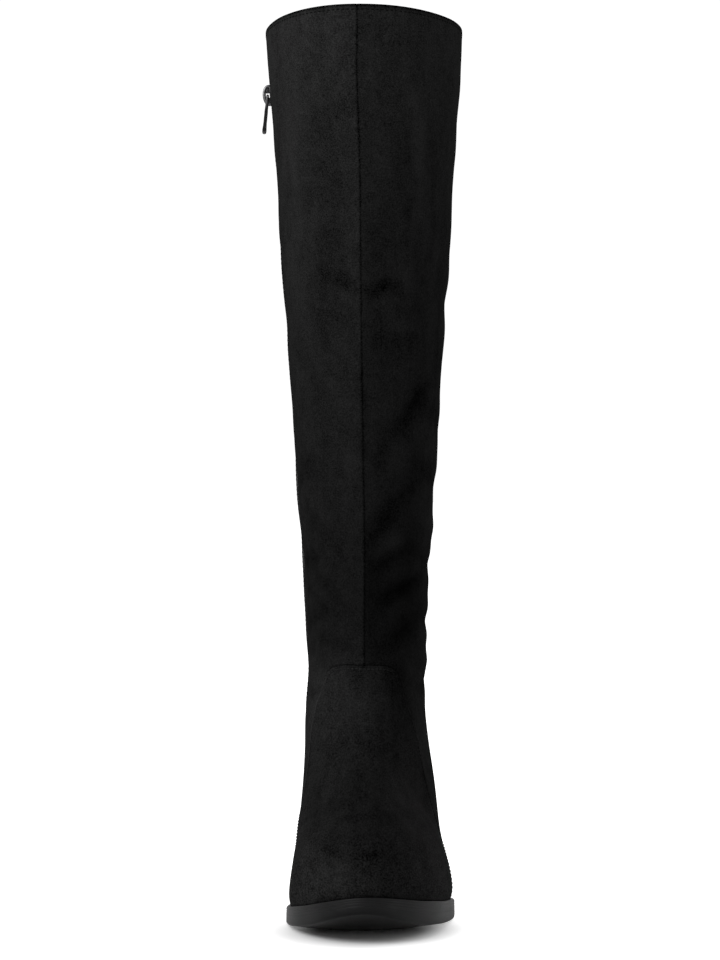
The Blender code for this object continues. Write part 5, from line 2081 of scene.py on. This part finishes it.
slot_levels = np.linspace(ZIP_LEVELS[0], ZIP_LEVELS[1], SLOT_SAMPLES)
slot_half = slot_half_turn(slot_levels, SLOT_WIDTH + 2.0 * SLOT_STITCH)
for side, _ in SIDES:
    slot_turns = zip_turn(slot_levels) + side * slot_half
    slot_path = stitched_path(slot_levels, slot_turns, -SLOT_STITCH_SUNK)
    rows_of_stitches.append(stitch_row(*slot_path))

painted_light = [np.full(len(points), THREAD_LIGHT[0]) for points, _ in rows_of_stitches]
lap_x = rows_of_stitches[1][0][:, 0]
painted_light[1] = THREAD_LIGHT[0] + (THREAD_LIGHT[1] - THREAD_LIGHT[0]) * step_down(lap_x, THREAD_LIGHT_END, THREAD_LIGHT_SOFTNESS)
make_piece(
    "topstitching", rows_of_stitches, thread, "upper",
    values={"painted_light": np.concatenate(painted_light)},
)

# %% [markdown]
# ## Floor, light and camera
# The boot stands on a plain white sweep of the kind used for shop pictures. The key light is a
# large soft box high on the inner side, so that the front of that side is the lighter one,
# and the outer side falls away. A weaker box behind keeps the back readable, and two narrow
# beams low behind the boot draw the sides of the foot. The white world is dimmer as a light
# than it looks, or it would wash the black suede grey.

# %% Floor
FLOOR_REACH = 30.0
# middle, half width and half length of two ovals, round toe and heel, in metres.
SHADOW_OVALS = ((-0.172, 0.058, 0.064), (0.0, 0.04, 0.04))
# The glow grows from nothing to its full strength between these two distances, in half axes.
SHADOW_FADE = (0.45, 1.35)
FLOOR_GLOW = 0.8
FLOOR_TONE = 0.85

paper, tree, sockets, place = new_finish("white_floor", Roughness=0.9, Emission_Strength=1.0)
sockets["Specular IOR Level"].default_value = 0.1
sockets["Base Color"].default_value = (*grey(FLOOR_TONE), 1.0)


def oval_distance(middle, half_width, half_length):
    """Distance from a place on the floor, in half axes of an oval."""
    moved = {0: place, 1: (0.0, middle, 0.0)}
    centred = wire(tree, "ShaderNodeVectorMath", moved, operation="SUBTRACT").outputs[0]
    scaled = stretched(tree, centred, (1.0 / half_width, 1.0 / half_length, 1.0))
    return wire(tree, "ShaderNodeVectorMath", {0: scaled}, operation="LENGTH").outputs["Value"]


# The floor only glows outside the two ovals, so that the shadows inside them stay.
nearest = maths(tree, "MINIMUM", *(oval_distance(*oval) for oval in SHADOW_OVALS))
near, far = SHADOW_FADE
fade = {"Value": nearest, "From Min": near, "From Max": far, "To Max": FLOOR_GLOW}
glow = wire(tree, "ShaderNodeMapRange", fade, interpolation_type="SMOOTHSTEP").outputs[0]
eye = tree.nodes.new("ShaderNodeLightPath").outputs["Is Camera Ray"]
glow = maths(tree, "MULTIPLY", glow, eye)
glow_colour = blend_colours(tree, glow, grey(0.0), grey(1.0))
tree.links.new(glow_colour, sockets["Emission Color"])

floor_mesh = bpy.data.meshes.new("floor")
corners = [(x * FLOOR_REACH, y * FLOOR_REACH, 0.0) for x, y in ((-1, -1), (1, -1), (1, 1), (-1, 1))]
floor_mesh.from_pydata(corners, [], [(0, 1, 2, 3)])
floor_mesh.materials.append(paper)
add_object("floor", floor_mesh)
print("floor:", 2.0 * FLOOR_REACH, "m wide")

# %% Lights
WORLD_LIGHT = 0.55
WORLD_SEEN = 0.5
WIDE, NARROW = 180.0, 22.0
# name, place, target, size in metres, power in watts, spread in degrees, shows in gloss.
LIGHTS = (
    ("key", (-1.0, -1.1, 1.35), (0.0, -0.05, 0.35), 1.0, 18.0, WIDE, True),
    ("outer_fill", (1.6, -1.2, 1.0), (0.0, -0.05, 0.3), 1.2, 3.0, WIDE, True),
    ("back_fill", (0.5, 2.1, 1.5), (0.0, 0.0, 0.25), 1.3, 14.0, WIDE, True),
    ("outer_rim", (0.75, 0.75, 0.08), (0.04, -0.16, 0.0), 0.35, 0.5, NARROW, False),
    ("inner_rim", (-0.75, 0.75, 0.08), (-0.04, -0.16, 0.0), 0.35, 0.18, NARROW, False),
)


def soft_box(name, place, target, size, power, spread, in_gloss):
    """A square area light at a place that faces a target, by the two angles of its way."""
    light = bpy.data.lights.new(name, "AREA")
    light.shape = "SQUARE"
    light.size = size
    light.energy = power
    light.spread = math.radians(spread)
    made = add_object(name, light)
    made.location = place
    made.visible_camera = False
    made.visible_glossy = in_gloss
    away = np.array(place) - np.array(target)
    tipped = math.atan2(math.hypot(away[0], away[1]), away[2])
    made.rotation_euler = (tipped, 0.0, math.atan2(away[0], -away[1]))


world = bpy.data.worlds.new("studio")
world.use_nodes = True
bpy.context.scene.world = world
sky = world.node_tree
sky_inputs = sky.nodes["Background"].inputs
seen = sky.nodes.new("ShaderNodeLightPath").outputs["Is Camera Ray"]
sky_inputs["Color"].default_value = (1.0, 1.0, 1.0, 1.0)
strength = maths(sky, "MULTIPLY_ADD", seen, WORLD_SEEN, WORLD_LIGHT)
sky.links.new(strength, sky_inputs["Strength"])
for light in LIGHTS:
    soft_box(*light)
bpy.context.scene.view_settings.view_transform = "Standard"
print("lights:", [light[0] for light in LIGHTS])

# %% Camera
# A long lens a little below half the boot's height, level, straight from the front.
camera_data = bpy.data.cameras.new("camera")
camera_data.lens = 107.25
camera_data.sensor_width = 36.0
camera_data.clip_end = 100.0
camera = add_object("camera", camera_data)
camera.location = (-0.0033, -1.738, 0.2475)
camera.rotation_euler = (math.pi / 2.0, 0.0, 0.0)
bpy.context.scene.camera = camera
print("camera stands", round(-camera.location.y, 2), "m in front of the heel's middle")
